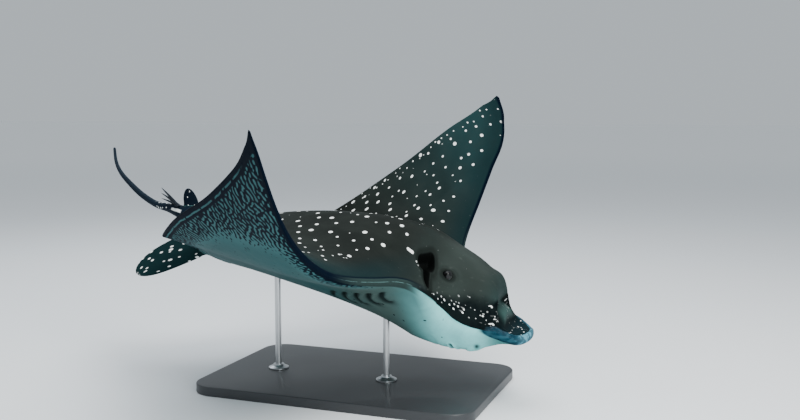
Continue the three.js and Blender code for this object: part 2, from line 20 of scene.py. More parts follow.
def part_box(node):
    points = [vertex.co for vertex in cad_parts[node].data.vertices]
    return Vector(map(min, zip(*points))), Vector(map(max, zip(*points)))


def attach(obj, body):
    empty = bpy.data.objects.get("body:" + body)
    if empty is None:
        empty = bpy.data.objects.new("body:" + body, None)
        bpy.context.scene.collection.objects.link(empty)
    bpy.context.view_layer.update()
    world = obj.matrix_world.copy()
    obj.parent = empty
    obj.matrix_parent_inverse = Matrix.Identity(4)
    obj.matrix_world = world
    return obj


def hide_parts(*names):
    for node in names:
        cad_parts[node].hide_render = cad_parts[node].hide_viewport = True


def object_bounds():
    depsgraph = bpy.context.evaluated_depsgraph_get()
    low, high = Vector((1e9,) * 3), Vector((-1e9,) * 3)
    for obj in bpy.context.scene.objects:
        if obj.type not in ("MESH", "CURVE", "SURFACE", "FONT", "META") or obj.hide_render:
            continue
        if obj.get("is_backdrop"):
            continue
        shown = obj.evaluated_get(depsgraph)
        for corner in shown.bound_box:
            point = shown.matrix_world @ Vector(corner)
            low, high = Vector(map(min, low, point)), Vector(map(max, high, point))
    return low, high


bl_info = {
    "name": "Spotted Eagle Ray",
    "version": (1, 0, 0),
    "blender": (4, 5, 0),
    "location": "View3D > Sidebar > Eagle Ray",
    "description": "Builds a spotted eagle ray display model on its stand",
    "category": "Add Mesh",
}

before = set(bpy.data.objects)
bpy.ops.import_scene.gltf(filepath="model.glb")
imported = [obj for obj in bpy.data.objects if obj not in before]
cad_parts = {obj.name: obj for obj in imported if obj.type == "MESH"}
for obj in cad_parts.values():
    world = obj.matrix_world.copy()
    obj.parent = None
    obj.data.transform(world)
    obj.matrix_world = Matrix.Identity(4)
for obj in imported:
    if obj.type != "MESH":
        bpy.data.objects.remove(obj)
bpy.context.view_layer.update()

# ---- Body plan, in shares of the disc width --------------------
DISC = 1.7                      # disc width in metres
# Half outline: [distance back from the snout tip, distance from the midline].
FRONT_EDGE = [
    (0, 0), (0.0045, 0.02), (0.019, 0.039), (0.05, 0.048), (0.085, 0.062), (0.118, 0.088),
    (0.145, 0.142), (0.192, 0.235), (0.238, 0.34), (0.292, 0.435), (0.332, 0.482),
    (0.362, 0.5),
]
REAR_EDGE = [
    (0.535, 0), (0.533, 0.02), (0.528, 0.04), (0.534, 0.051), (0.547, 0.067), (0.55, 0.09),
    (0.535, 0.138), (0.483, 0.232), (0.412, 0.335), (0.372, 0.425), (0.363, 0.476),
    (0.366, 0.499),
]
# Stations along the midline: [distance back from the snout tip, value].
CROWN = [
    (0, -0.045), (0.012, -0.0485), (0.024, -0.0475), (0.036, -0.04), (0.0455, -0.012),
    (0.056, 0.0115), (0.08, 0.028), (0.12, 0.044), (0.18, 0.06), (0.24, 0.065), (0.32, 0.061),
    (0.42, 0.049), (0.5, 0.034), (0.56, 0.022),
]
KEEL = [
    (0, -0.045), (0.012, -0.0485), (0.03, -0.052), (0.06, -0.062), (0.085, -0.07),
    (0.105, -0.072), (0.14, -0.062), (0.2, -0.04), (0.27, -0.027), (0.36, -0.02),
    (0.46, -0.018), (0.56, -0.016),
]
RIM_HEIGHT = [
    (0, -0.045), (0.012, -0.0445), (0.03, -0.039), (0.045, -0.0355), (0.065, -0.036),
    (0.09, -0.033), (0.118, -0.023), (0.16, -0.01), (0.23, 0), (0.6, 0),
]
CROWN_HALF_WIDTH = [
    (0, 0.04), (0.03, 0.036), (0.05, 0.041), (0.08, 0.056), (0.11, 0.068), (0.15, 0.09),
    (0.22, 0.12), (0.3, 0.12), (0.4, 0.09), (0.48, 0.06), (0.56, 0.045),
]
KEEL_HALF_WIDTH = [
    (0, 0.04), (0.06, 0.048), (0.1, 0.07), (0.15, 0.095), (0.22, 0.115), (0.3, 0.115),
    (0.4, 0.09), (0.48, 0.06), (0.56, 0.045),
]
CROWN_STEEPNESS = [(0, 3), (0.03, 8), (0.06, 9), (0.12, 7), (0.2, 4), (0.3, 3.2), (0.56, 3)]
KEEL_STEEPNESS = 4
SIDE = [
    (0, 0.004), (0.0045, 0.02), (0.01, 0.03), (0.019, 0.039), (0.034, 0.0455),
    (0.05, 0.048), (0.085, 0.062), (0.118, 0.088), (0.145, 0.142), (0.192, 0.235), (0.6, 1.0),
]
FIN_EDGE, FIN_ROOT, LIP = 0.002, 0.037, 0.0135      # half thicknesses in metres

# ---- Pose --------------------
RIGHT_FIN = {"side": -1, "root": -0.307, "bend": (1.071, 0.512, -0.769),
             "twist": (-0.066, 0.904, -0.18), "sweep": 0.694, "trail": -0.006}
LEFT_FIN = {"side": 1, "root": 0.648, "bend": (1.17, 0.162, -1.166),
            "twist": (-0.11, 1.279, 0.048), "sweep": 0.978, "trail": -0.105}
FIN_HINGE = ((0.2, 0.1), (0.5, 0.05))
FIN_ARM, FIN_MIDDLE, FIN_HALF_CHORD = 0.4, 0.34, 0.2
SAG_MIDDLE, SAG_FORWARD, SAG_BACKWARD = 0.3, 0.109, -0.303
HEAD_TWIST = math.radians(15)
HEAD_PIVOT = -0.036
NOSE_DOWN, LEFT_DOWN = math.radians(7.5), math.radians(12.6)
BASE_HEIGHT, CHIN_CLEARANCE, BASE_CENTRE_BACK = 0.024, 0.095, 0.46

# ---- Curves and blends --------------------


def cubic(at, value, slope, x):
    """Value at x of a cubic curve through knots with the given slopes."""
    i = np.clip(np.searchsorted(at, x, side="right") - 1, 0, len(at) - 2)
    width = at[i + 1] - at[i]
    f = (x - at[i]) / width
    return (value[i] * (1 + 2 * f) * (1 - f) ** 2 + width * slope[i] * f * (1 - f) ** 2
            + value[i + 1] * f * f * (3 - 2 * f) + width * slope[i + 1] * f * f * (f - 1))


def profile(knots, x):
    """Value at x of a smooth curve through (x, value) knots, flat at each turning point."""
    at, value = np.asarray(knots, float).T
    grade = np.diff(value) / np.diff(at)
    slope = np.concatenate([grade[:1], (grade[:-1] + grade[1:]) / 2, grade[-1:]])
    slope[1:-1] *= grade[:-1] * grade[1:] > 0
    return cubic(at, value, slope, np.clip(x, at[0], at[-1]))


def half_outline(points, t):
    """Points at t (0 to 1) of a Catmull-Rom curve that crosses the midline squarely."""
    points = np.asarray(points, float)
    last = len(points) - 1
    before, after = points[1] * (1, -1), 2 * points[last] - points[last - 1]
    knots = np.vstack([before, points, after])
    x = np.clip(t, 0, 1) * last
    i = np.minimum(x.astype(int), last - 1)
    f = (x - i)[..., None]
    a, b, c, d = knots[i], knots[i + 1], knots[i + 2], knots[i + 3]
    return b + 0.5 * f * (c - a + f * (2 * a - 5 * b + 4 * c - d + f * (3 * (b - c) + d - a)))


def smooth(x):
    """Smooth rise from 0 at x = 0 to 1 at x = 1."""
    x = np.clip(x, 0, 1)
    return x * x * (3 - 2 * x)


def round_edge(x):
    """Quarter-round rise from 0 at the edge to 1 at x = 1."""
    return np.sqrt(1 - (1 - np.clip(x, 0, 1)) ** 2)


def bell(x, width):
    """1 at x = 0, falling off either way within about a width."""
    return np.exp(-((x / width) ** 2))


def unit(vectors):
    """Vectors at length 1."""
    return vectors / np.linalg.norm(vectors, axis=-1, keepdims=True)


# ---- The body's surface --------------------


def body_heights(back, out, t, v, rim=1.0):
    """Upper and lower height of the unbent body; rim (0 to 1) rounds the free edge off."""
    chord = half_outline(REAR_EDGE, t)[..., 0] - half_outline(FRONT_EDGE, t)[..., 0]
    side = profile(SIDE, back)
    to_side = np.where(back < 0.2, np.maximum((side - out) * 0.9, 0), 9.0)
    in_from_edge = np.minimum(v * chord, to_side)
    taper = np.sqrt(np.clip(1 - np.clip(out / side, 0, 1) ** 5, 0, 1))
    tailward = round_edge((1 - v) * chord / 0.05)
    span_fade = (1 - np.clip(out / 0.5, 0, 1)) ** 0.85
    camber = np.clip(2.6 * np.sqrt(v) * (1 - v), 0, 1)
    sheet = (FIN_EDGE / DISC * rim
             + FIN_ROOT / DISC * span_fade * np.clip((back - 0.04) / 0.12, 0, 1) * camber
             + LIP / DISC * np.clip(1 - back / 0.13, 0, 1) * round_edge(in_from_edge / 0.009))
    middle = profile(RIM_HEIGHT, back) * np.clip(1.7 - out / 0.1, 0, 1)
    crown = profile(CROWN, back) - middle
    keel = profile(KEEL, back) - middle
    up = 1 / (1 + (out / profile(CROWN_HALF_WIDTH, back)) ** profile(CROWN_STEEPNESS, back))
    down = 1 / (1 + (out / profile(KEEL_HALF_WIDTH, back)) ** KEEL_STEEPNESS)
    top = middle + sheet + crown * up * np.where(crown > 0, taper, 1) * tailward
    return top, middle - sheet + keel * down * taper * tailward


def by_side(y, key):
    """A fin's pose value for the side that each point is on."""
    right, left = np.asarray(RIGHT_FIN[key], float), np.asarray(LEFT_FIN[key], float)
    pick = (y < 0)[..., None] if right.ndim else y < 0
    return np.where(pick, right, left)


def fin_angle(y, arm, back):
    """Slope of a fin an arm's length out from its hinge."""
    share, chord = arm / FIN_ARM, (back - FIN_MIDDLE) / FIN_HALF_CHORD
    b, c = by_side(y, "bend"), by_side(y, "twist")
    return (smooth(arm / 0.08) * (by_side(y, "root") + chord * c[..., 0])
            + share * (b[..., 0] + share * (b[..., 1] + share * b[..., 2]))
            + chord * share * (c[..., 1] + share * c[..., 2]))


def bend_body(back, across, up):
    """Where points of the unbent body lie once the head, the fins and the back are bent."""
    turn = HEAD_TWIST * smooth((0.15 - back) / 0.1)
    y = across * np.cos(turn) - (up - HEAD_PIVOT) * np.sin(turn)
    z = HEAD_PIVOT + (up - HEAD_PIVOT) * np.cos(turn) + across * np.sin(turn)
    hinge = np.interp(back, [h[0] for h in FIN_HINGE], [h[1] for h in FIN_HINGE])
    arm = np.maximum(np.abs(y) - hinge, 0)
    outward, height, steps = np.minimum(np.abs(y), hinge), 0.0, 12
    for i in range(steps):
        angle = fin_angle(y, arm * (i + 0.5) / steps, back)
        outward = outward + np.cos(angle) * arm / steps
        height = height + np.sin(angle) * arm / steps
    angle = fin_angle(y, arm, back)
    swept = (back - by_side(y, "sweep") * arm * arm + by_side(y, "trail")
             * np.sin(np.pi * np.clip(arm / FIN_ARM, 0, 1))
             * np.clip((back - FIN_MIDDLE) / FIN_HALF_CHORD + 0.3, 0, 2))
    height = height + np.cos(angle) * z
    outward = outward - np.sin(angle) * z
    sag = np.where(swept < SAG_MIDDLE, SAG_FORWARD, SAG_BACKWARD)
    lean = sag * (swept - SAG_MIDDLE)
    return np.stack([
        -SAG_MIDDLE - np.sin(lean) / sag + np.sin(lean) * height,
        np.where(y < 0, -1.0, 1.0) * outward,
        (1 - np.cos(lean)) / sag + np.cos(lean) * height,
    ], -1)


def plan_place(t, v):
    """Distance back and out at t, and v of the way from the front edge to the rear edge."""
    front, rear = half_outline(FRONT_EDGE, np.abs(t)), half_outline(REAR_EDGE, np.abs(t))
    v = v[..., None]
    place = front * (1 - v) + rear * v
    return place[..., 0], place[..., 1]


def disc_point(t, v, upper, rim=1.0):
    """Bent-body points of the disc; t runs over both sides, from -1 to 1."""
    back, out = plan_place(t, v)
    top, bottom = body_heights(back, out, np.abs(t), v, rim)
    return bend_body(back, np.sign(t) * out, np.where(upper, top, bottom))


TURN = np.array(Matrix.Rotation(NOSE_DOWN, 3, "Y") @ Matrix.Rotation(-LEFT_DOWN, 3, "X"))
BODY_UP = TURN @ np.array([0, 0, 1.0])


def stand_lift():
    """Height of the snout tip's level over the floor, from the lowest skin."""
    t, v = np.meshgrid(np.linspace(-1, 1, 51), np.linspace(0, 1, 19), indexing="ij")
    lowest = (disc_point(t, v, False) @ TURN.T)[..., 2].min() * DISC
    return BASE_HEIGHT + CHIN_CLEARANCE - lowest


LIFT = stand_lift()


def to_world(points):
    """Bent-body points, in disc widths from the snout, as metres over the floor."""
    return np.asarray(points, float) @ TURN.T * DISC + (BASE_CENTRE_BACK, 0, LIFT)


def placed(route):
    """World points from (back, across, up) places on the bent body."""
    return to_world(np.asarray(route, float) * (-1, 1, 1))


# ---- Features of the head and belly, in shares of the disc width --------------------
EYE_PLACE, EYE_RADIUS = (0.116, 0.063, 0.02), 0.0078 * DISC
SPIRACLE_BACK, SPIRACLE_FRONT, SPIRACLE_HALF = (0.1475, 0.0915), (0.1385, 0.08), 0.007
SPIRACLE_NECK, SPIRACLE_FOOT = (0.1425, 0.0862), (0.1345, 0.0985)
SPIRACLE_FOLD = (0.133, 0.076), (0.129, 0.09)
GILLS = [(0.1775 + 0.0208 * i, 0.138 - 0.0112 * i) for i in range(5)]
GILL_HALF = 0.015
MOUTH_BACK, MOUTH_HALF = 0.1, 0.044
CURTAIN_BACK, CURTAIN_HALF = 0.084, 0.04
NOSTRIL, VENT_BACK, VENT_HALF = (0.069, 0.035), 0.492, 0.008
CHIN_BACK, JAW_BACK = 0.104, 0.1225
# Rises and grooves across the cranium and the bill, which bow forward from the midline:
# [distance back in shares of the disc width, width and height in metres].
BROW_BOW = 2.6
BROW = [(0.0605, 0.017, 0.0058), (0.0457, 0.0044, -0.0155), (0.0412, 0.005, 0.004)]
# Foot of the cranium, where the dark band along the side of the head begins.
CHEEK_LINE = [
    (0.036, -0.02), (0.0435, 0.0), (0.05, 0.033), (0.0534, 0.0381), (0.0634, 0.044),
    (0.0823, 0.0541), (0.1123, 0.0771), (0.1226, 0.0924), (0.1326, 0.1146), (0.15, 0.165),
    (0.6, 1.2),
]


def capsule(x, y, start, end, r0, r1):
    """Signed distance to a capsule that narrows from radius r0 to r1."""
    dx, dy = end[0] - start[0], end[1] - start[1]
    f = np.clip(((x - start[0]) * dx + (y - start[1]) * dy) / (dx * dx + dy * dy), 0, 1)
    return np.hypot(x - start[0] - f * dx, y - start[1] - f * dy) - (r0 + (r1 - r0) * f)


def top_features(back, out, in_edge):
    """Height of the folds on the upper side, distance to the spiracle and to the dark band."""
    half = SPIRACLE_HALF
    pit = DISC * np.minimum(
        capsule(back, out, SPIRACLE_BACK, SPIRACLE_FRONT, half, half),
        capsule(back, out, SPIRACLE_NECK, SPIRACLE_FOOT, half * 0.95, half * 0.8))
    cheek = (out - profile(CHEEK_LINE, back)) * DISC
    fore = smooth((0.125 - back) / 0.015) * smooth((back - 0.046) / 0.006)
    lip = (in_edge - 0.0064 * smooth((0.0576 - back) / 0.0376)) * DISC
    bow = back + BROW_BOW * out * out
    brow = sum(rise * bell((bow - at) * DISC, width) for at, width, rise in BROW)
    fold = capsule(back, out, *SPIRACLE_FOLD, 0, 0) * DISC
    return (-0.024 * smooth((0.001 - pit) / 0.011) + 0.0016 * bell(pit - 0.007, 0.007)
            - 0.003 * bell(fold, 0.009)
            - 0.0038 * bell(cheek - 0.002, 0.0055) * fore
            - 0.0032 * bell(lip, 0.003) * smooth((0.057 - back) / 0.012)
            + brow * smooth((0.04 - out) / 0.016)), pit, cheek


def gill_fields(back, out):
    """Distance to the nearest gill slit in metres, the flaps over the slits, and where the painted
    shade under each flap reaches.
    """
    slits, flaps, hood_shade = np.full(back.shape, 9.0), np.zeros(back.shape), np.zeros(back.shape)
    for gill_back, gill_out in GILLS:
        along = (out - gill_out) + 0.18 * (back - gill_back)
        curve = back - gill_back - 0.004 * (1 - (along / GILL_HALF) ** 2)
        apart = np.hypot(curve, np.maximum(np.abs(along) - GILL_HALF, 0)) * DISC
        slits = np.minimum(slits, apart / (1 + 0.55 * np.clip(-along / GILL_HALF, -0.4, 1)))
        inside = smooth((GILL_HALF * 1.15 - np.abs(along)) / 0.006)
        flaps += bell((curve + 0.0052) * DISC, 0.007) * inside
        hood_shade += (smooth((curve * DISC + 0.0125) / 0.004)
                  * smooth((0.002 - curve * DISC) / 0.004) * inside)
    return slits, flaps, hood_shade


def under_features(back, out):
    """Height of the folds on the underside, and the painted shade in each: darkest in the gill
    slits, the mouth, the nostrils, the vent and along the curtain.
    """
    slits, flaps, hood_shade = gill_fields(back, out)
    mouth = np.hypot(back - MOUTH_BACK - 1.6 * out * out, np.maximum(out - MOUTH_HALF, 0)) * DISC
    fringe = 0.0012 * np.cos(out * DISC / 0.0045)
    curtain = (back - CURTAIN_BACK + 1.1 * out * out - fringe) * DISC
    curtain_side = smooth((CURTAIN_HALF - out) / 0.008)
    nostril = np.hypot(back - NOSTRIL[0], (out - NOSTRIL[1]) * 0.6) * DISC
    vent = np.hypot(np.maximum(np.abs(back - VENT_BACK) - VENT_HALF, 0), out) * DISC
    jaw = (back - JAW_BACK - 1.2 * out * out) * DISC
    height = (sum(rise * bell(field, width) for field, width, rise in (
        (slits, 0.005, -0.007), (mouth, 0.003, -0.0075), (nostril, 0.005, -0.005),
        (vent, 0.003, -0.004), (vent - 0.007, 0.004, 0.002)))
        + 0.0044 * np.clip(flaps, 0, 1)
        + 0.003 * bell(mouth - 0.0065, 0.0045) * smooth((MOUTH_HALF * 1.2 - out) / 0.01)
        + 0.004 * smooth(-curtain / 0.003) * smooth((back - 0.06) / 0.012) * curtain_side
        - 0.0016 * bell(jaw, 0.005) * smooth((0.06 - out) / 0.012)
        - 0.0085 * bell(back - CHIN_BACK, 0.02) * smooth((0.08 - out) / 0.03))
    # Painted shade: dark in the slits, the mouth, the nostrils, the vent and the curtain's edge,
    # and fainter under the gill flaps.
    dark = np.clip(1.6 * bell(slits, 0.0084) + 0.12 * hood_shade + 1.2 * bell(mouth, 0.0034)
                   + bell(nostril, 0.0055) + bell(vent, 0.0034)
                   + 0.7 * bell(curtain, 0.0022) * curtain_side, 0, 1)
    return height, dark


# ---- Mesh helpers --------------------


def numbers(collection, key, width):
    """One value of every element of a mesh, as rows of an array."""
    values = np.zeros(len(collection) * width, np.float32)
    collection.foreach_get(key, values)
    return values.reshape(-1, width).astype(float)


def add_vectors(mesh, name, *values):
    """Stores three values at each point of a mesh, each an array or one number for all."""
    rows = np.stack(np.broadcast_arrays(np.zeros(len(mesh.vertices)), *values)[1:], -1)
    made = mesh.attributes.new(name, "FLOAT_VECTOR", "POINT")
    made.data.foreach_set("vector", rows.astype(np.float32).ravel())


def set_places(mesh, places):
    mesh.vertices.foreach_set("co", places.astype(np.float32).ravel())
    mesh.update()


def new_object(name, mesh):
    made = bpy.data.objects.new(name, mesh)
    bpy.context.scene.collection.objects.link(made)
    return made


def mesh_of(name, points, faces, edges=()):
    mesh = bpy.data.meshes.new(name)
    mesh.from_pydata([tuple(p) for p in points], list(edges),
                     [tuple(int(i) for i in f) for f in faces])
    mesh.update()
    return mesh


def shade_smooth(mesh, angle=None):
    mesh.polygons.foreach_set("use_smooth", [True] * len(mesh.polygons))
    if angle is not None:
        mesh.set_sharp_from_angle(angle=angle)


@contextmanager
def edited(mesh):
    """The mesh opened for editing, and written back at the end."""
    bm = bmesh.new()
    bm.from_mesh(mesh)
    yield bm
    bm.to_mesh(mesh)
    bm.free()


def faced_out(mesh):
    """Turns a closed mesh's faces outward."""
    with edited(mesh) as bm:
        bmesh.ops.recalc_face_normals(bm, faces=bm.faces)
    return mesh


def ring_faces(rows, sides, closed=False):
    """Faces between rings of points, and from the last ring to the first where closed."""
    faces = []
    for i in range(rows if closed else rows - 1):
        low, high = i * sides, (i + 1) % rows * sides
        for k in range(sides):
            n = (k + 1) % sides
            faces.append((low + k, low + n, high + n, high + k))
    return faces


def two_sided(inner):
    """Point numbers of a grid's two layers, which part only at inner points, and its faces."""
    index = np.arange(inner.size).reshape(inner.shape)
    below = index.copy()
    below[inner] = inner.size + np.arange(inner.sum())
    faces = []
    for layer, order in ((index, (0, 1, 2, 3)), (below, (3, 2, 1, 0))):
        corners = (layer[:-1, :-1], layer[1:, :-1], layer[1:, 1:], layer[:-1, 1:])
        faces.extend(np.stack([corners[k] for k in order], -1).reshape(-1, 4))
    return index, below, faces


def drop(*objects):
    """Removes objects with their meshes."""
    for made in objects:
        mesh = made.data
        bpy.data.objects.remove(made)
        bpy.data.meshes.remove(mesh)


def plain_mesh(made, name):
    """The evaluated object as a mesh of its own."""
    depsgraph = bpy.context.evaluated_depsgraph_get()
    mesh = bpy.data.meshes.new_from_object(made.evaluated_get(depsgraph))
    mesh.name = name
    return mesh


def combined(first, second):
    """first joined with second as one closed object, in first's place."""
    joint = first.modifiers.new("Combine", "BOOLEAN")
    joint.operation, joint.solver, joint.object = "UNION", "MANIFOLD", second
    bpy.context.view_layer.update()
    name = first.name
    mesh = plain_mesh(first, name)
    drop(first, second)
    return new_object(name, mesh)


def tube(centres, radii, sides, squash=1.0):
    """Closed tube along points; returns its points and faces, and each point's place on the
    tube's way round, above (1 to -1) and beside it; the last two points close the ends."""
    along = unit(np.gradient(centres, axis=0))
    side = unit(np.cross(along, BODY_UP))
    above = np.cross(side, along)
    angles = np.linspace(0, 2 * np.pi, sides, endpoint=False)
    ring = (centres[:, None] + radii[:, None, None] * (
        np.cos(angles)[None, :, None] * side[:, None]
        + squash * np.sin(angles)[None, :, None] * above[:, None]))
    count = len(centres)
    points = np.vstack([ring.reshape(-1, 3), centres[:1], centres[-1:]])
    faces, first, end = ring_faces(count, sides), count * sides, (count - 1) * sides
    for k in range(sides):
        n = (k + 1) % sides
        faces += [(first, n, k), (first + 1, end + k, end + n)]
    way = [np.append(np.tile(f(angles), count), [0, 0]) for f in (np.sin, np.cos)]
    return points, faces, *way


def smooth_route(route, steps):
    """Evenly spaced points on a smooth curve through a route's points."""
    route = np.asarray(route, float)
    gaps = np.sqrt(np.linalg.norm(np.diff(route, axis=0), axis=1))
    at = np.concatenate([[0], np.cumsum(gaps)])
    fine = np.linspace(0, at[-1], 600)
    curve = np.stack([cubic(at, route[:, c], np.gradient(route[:, c], at), fine)
                      for c in range(3)], -1)
    run = np.concatenate([[0], np.cumsum(np.linalg.norm(np.diff(curve, axis=0), axis=1))])
    even = np.linspace(0, run[-1], steps)
    return np.stack([np.interp(even, run, curve[:, c]) for c in range(3)], -1), even


# ---- Shader maths --------------------


def maths(operation, swapped=False):
    """A method that makes a maths node of a socket and one more value."""
    def method(self, other=0.0):
        return self.maths_node(operation, *((other, self) if swapped else (self, other)))
    return method


class Sock:
    """An output socket that takes part in Python expressions."""

    def __init__(self, look, socket):
        self.look, self.socket = look, socket

    def maths_node(self, operation, *values, clamp=False):
        return self.look.node("ShaderNodeMath", {"operation": operation, "use_clamp": clamp},
                              dict(enumerate(values)))

    __add__ = __radd__ = maths("ADD")
    __mul__ = __rmul__ = maths("MULTIPLY")
    __sub__, __rsub__ = maths("SUBTRACT"), maths("SUBTRACT", swapped=True)
    __truediv__, __pow__, most = maths("DIVIDE"), maths("POWER"), maths("MAXIMUM")
    __abs__ = maths("ABSOLUTE")

    def clamp(self):
        return self.maths_node("ADD", self, 0.0, clamp=True)

    def step(self, low, high):
        """Smooth rise from 0 at low to 1 at high; falls where low is above high."""
        if low > high:
            return 1 - self.step(high, low)
        return self.look.node("ShaderNodeMapRange", {"interpolation_type": "SMOOTHSTEP"},
                              {"Value": self, "From Min": low, "From Max": high})

    def hump(self, centre, width):
        """1 at the centre, falling smoothly to 0 a width away."""
        return 1 - abs(self - centre).step(0.0, width)


# Scattered points as sockets: distance to the nearest, two random numbers for it, its place.
Spots = namedtuple("Spots", "distance chance other centre")


class Look:
    """A procedural material, built by expressions."""

    def __init__(self, name):
        self.material = bpy.data.materials.new(name)
        self.material.use_nodes = True
        self.tree = self.material.node_tree
        self.tree.nodes.clear()
        self.shader = self.tree.nodes.new("ShaderNodeBsdfPrincipled")
        output = self.tree.nodes.new("ShaderNodeOutputMaterial")
        self.tree.links.new(self.shader.outputs[0], output.inputs["Surface"])

    def node(self, kind, settings=None, sockets=None, out=0):
        made = self.tree.nodes.new(kind)
        for key, value in (settings or {}).items():
            setattr(made, key, value)
        for key, value in (sockets or {}).items():
            self.feed(made.inputs[key], value)
        if isinstance(out, tuple):
            return [Sock(self, made.outputs[o]) for o in out]
        return Sock(self, made.outputs[out])

    def feed(self, socket, value):
        if isinstance(value, Sock):
            self.tree.links.new(value.socket, socket)
        elif hasattr(value, "__len__") and len(socket.default_value) > len(value):
            socket.default_value = (*value, 1)
        else:
            socket.default_value = value

    def set(self, **values):
        """Sets the shader's sockets; underscores in a name stand for spaces."""
        for key, value in values.items():
            self.feed(self.shader.inputs[key.replace("_", " ")], value)

    def attribute(self, name):
        return self.node("ShaderNodeAttribute", {"attribute_name": name}, out="Vector")

    def split(self, vector):
        return self.node("ShaderNodeSeparateXYZ", None, {0: vector}, out=(0, 1, 2))

    def join(self, x=0.0, y=0.0, z=0.0):
        return self.node("ShaderNodeCombineXYZ", None, {0: x, 1: y, 2: z})

    def place(self):
        return self.node("ShaderNodeTexCoord", out="Object")

    def noise(self, vector, scale, detail=3.0, rough=0.5, distort=0.0):
        return self.node("ShaderNodeTexNoise", {"noise_dimensions": "3D"}, {
            "Vector": vector, "Scale": scale, "Detail": detail, "Roughness": rough,
            "Distortion": distort}, out="Fac")

    def stretch(self, vector, scale):
        return self.node("ShaderNodeMapping", {"vector_type": "POINT"},
                         {"Vector": vector, "Scale": scale})

    def mix(self, base, *layers):
        """A base colour with others laid over it in turn, each as (share, colour)."""
        for share, colour in layers:
            base = self.node("ShaderNodeMix", {"data_type": "RGBA", "clamp_factor": True},
                             {0: share, 6: base, 7: colour}, out=2)
        return base

    def bump(self, height, distance, strength=1.0, base=None):
        sockets = {"Height": height, "Distance": distance, "Strength": strength}
        if base is not None:
            sockets["Normal"] = base
        return self.node("ShaderNodeBump", None, sockets)

    def scatter(self, vector, randomness, dimensions="2D"):
        distance, colour, centre = self.node(
            "ShaderNodeTexVoronoi", {"voronoi_dimensions": dimensions, "feature": "F1"},
            {"Vector": vector, "Scale": 1.0, "Randomness": randomness},
            out=("Distance", "Color", "Position"))
        return Spots(distance, *self.split(colour)[:2], centre)


def dots(spots, least, more, soft):
    """Round dots on scattered points, from least to least + more in radius."""
    return (least + more * spots.chance - spots.distance).step(-soft, soft)


# ---- Settings --------------------


def colour(name, default, description):
    return FloatVectorProperty(name=name, description=description, subtype="COLOR", size=3,
                               min=0, max=1, default=default)


def metres(name, default, description):
    return FloatProperty(name=name, description=description, default=default, min=0,
                         subtype="DISTANCE", unit="LENGTH", precision=4)


class RaySkinSettings(bpy.types.PropertyGroup):
    """Colours and markings of the skin."""

    back: colour("Back", (0.0125, 0.015, 0.0135), "Colour of the upper side")
    back_edge: colour("Fin tips", (0.013, 0.038, 0.04), "Upper side toward the fin edges")
    snout: colour("Snout", (0.018, 0.048, 0.048), "Front of the cranium")
    # The underside is white; the first colour below is it darkened as painted shade over the
    # belly, and the second is it as painted light on the throat.
    shaded_belly: colour("Belly", (0.028, 0.084, 0.088), "Colour of the underside")
    lit_throat: colour("Throat", (0.28, 0.74, 0.73), "Underside of the head")
    line: colour("Lines", (0.001, 0.004, 0.01), "Dark lines and margins under the fins")
    spot: colour("Spots", (0.93, 0.95, 0.92), "White spots")
    lip: colour("Lip", (0.01, 0.05, 0.075), "Thick lip round the snout lobe")
    spot_spacing: metres("Spot spacing", 0.041, "Mean distance between spots")
    spot_radius: metres("Spot radius", 0.0066, "Largest radius of a spot on the back")
    line_spacing: metres("Line spacing", 0.0138, "From one dark line under the fins to the next")


class RayPartSettings(bpy.types.PropertyGroup):
    """Eyes and tail spines."""

    eye: colour("Eye", (0.006, 0.007, 0.008), "Colour of the eye's iris")
    spine: colour("Spines", (0.006, 0.01, 0.016), "Colour of the tail spines")
    barbs: IntProperty(name="Barbs", description="Barbs along each side of a tail spine",
                       default=16, min=4, max=40)


class RayStandSettings(bpy.types.PropertyGroup):
    """The display stand."""

    paint: colour("Base paint", (0.022, 0.024, 0.027), "Satin paint of the base board")
    steel: colour("Steel", (0.58, 0.59, 0.6), "Brushed steel of the rods")
    rod_radius: metres("Rod radius", 0.008, "Radius of each rod")


class RayStageSettings(bpy.types.PropertyGroup):
    """Floor, lights and camera."""

    floor: colour("Floor", (0.84, 0.86, 0.88), "Plain pale floor")
    lens: FloatProperty(name="Lens", description="Focal length of the camera", default=43.13,
                        min=10, subtype="DISTANCE_CAMERA", unit="CAMERA")
    key: FloatProperty(name="Key light", description="Power of the main soft light",
                       default=95, min=0, subtype="POWER", unit="POWER")


# ---- Skin shape --------------------
# Places along the middle of the tail: [back, across, up] on the bent body.
TAIL_ROUTE = [
    (0.5, 0, 0.014), (0.546, 0, 0.031), (0.59, 0.008, 0.034), (0.627, 0.028, 0.037),
    (0.669, 0.055, 0.039), (0.736, 0.106, 0.051), (0.808, 0.164, 0.07), (0.87, 0.219, 0.088),
    (0.937, 0.289, 0.111), (1.007, 0.369, 0.144),
]
TAIL_SIDES, TAIL_STEPS, TAIL_POINT = 20, 260, 0.012
TAIL_RADIUS = [(0.0, 0.0215), (0.03, 0.019), (0.06, 0.0155), (0.1, 0.0105), (0.14, 0.0072),
               (0.18, 0.0058), (0.3, 0.0051), (0.5, 0.0036), (0.67, 0.0027)]
SEAM_EDGE, SEAM_REACH, SEAM_ROUNDS = 0.006, 0.022, 40
# The right pelvic fin is lowered in the turn, and the left one trails behind the hips.
PELVIC_TIPS = [(-1, (0.606, -0.052, -0.075)), (1, (0.614, 0.062, -0.03))]
# Grid lines of the disc from its front edge to its rear edge, and from the midline to a fin's tip.
ROWS = np.concatenate([
    [0, 0.0005, 0.0014, 0.0028, 0.0048, 0.0075], np.linspace(0.011, 0.3, 46),
    np.linspace(0.312, 0.985, 34), [0.9905, 0.9945, 0.9972, 0.999, 1]])
COLUMNS = np.concatenate([np.linspace(0, 0.57, 60), np.linspace(0.58, 0.985, 30),
                          [0.991, 0.9955, 0.9985, 1]])
LEAF_BLUNTNESS, LEAF_ROUNDING = 2.4, 0.0022
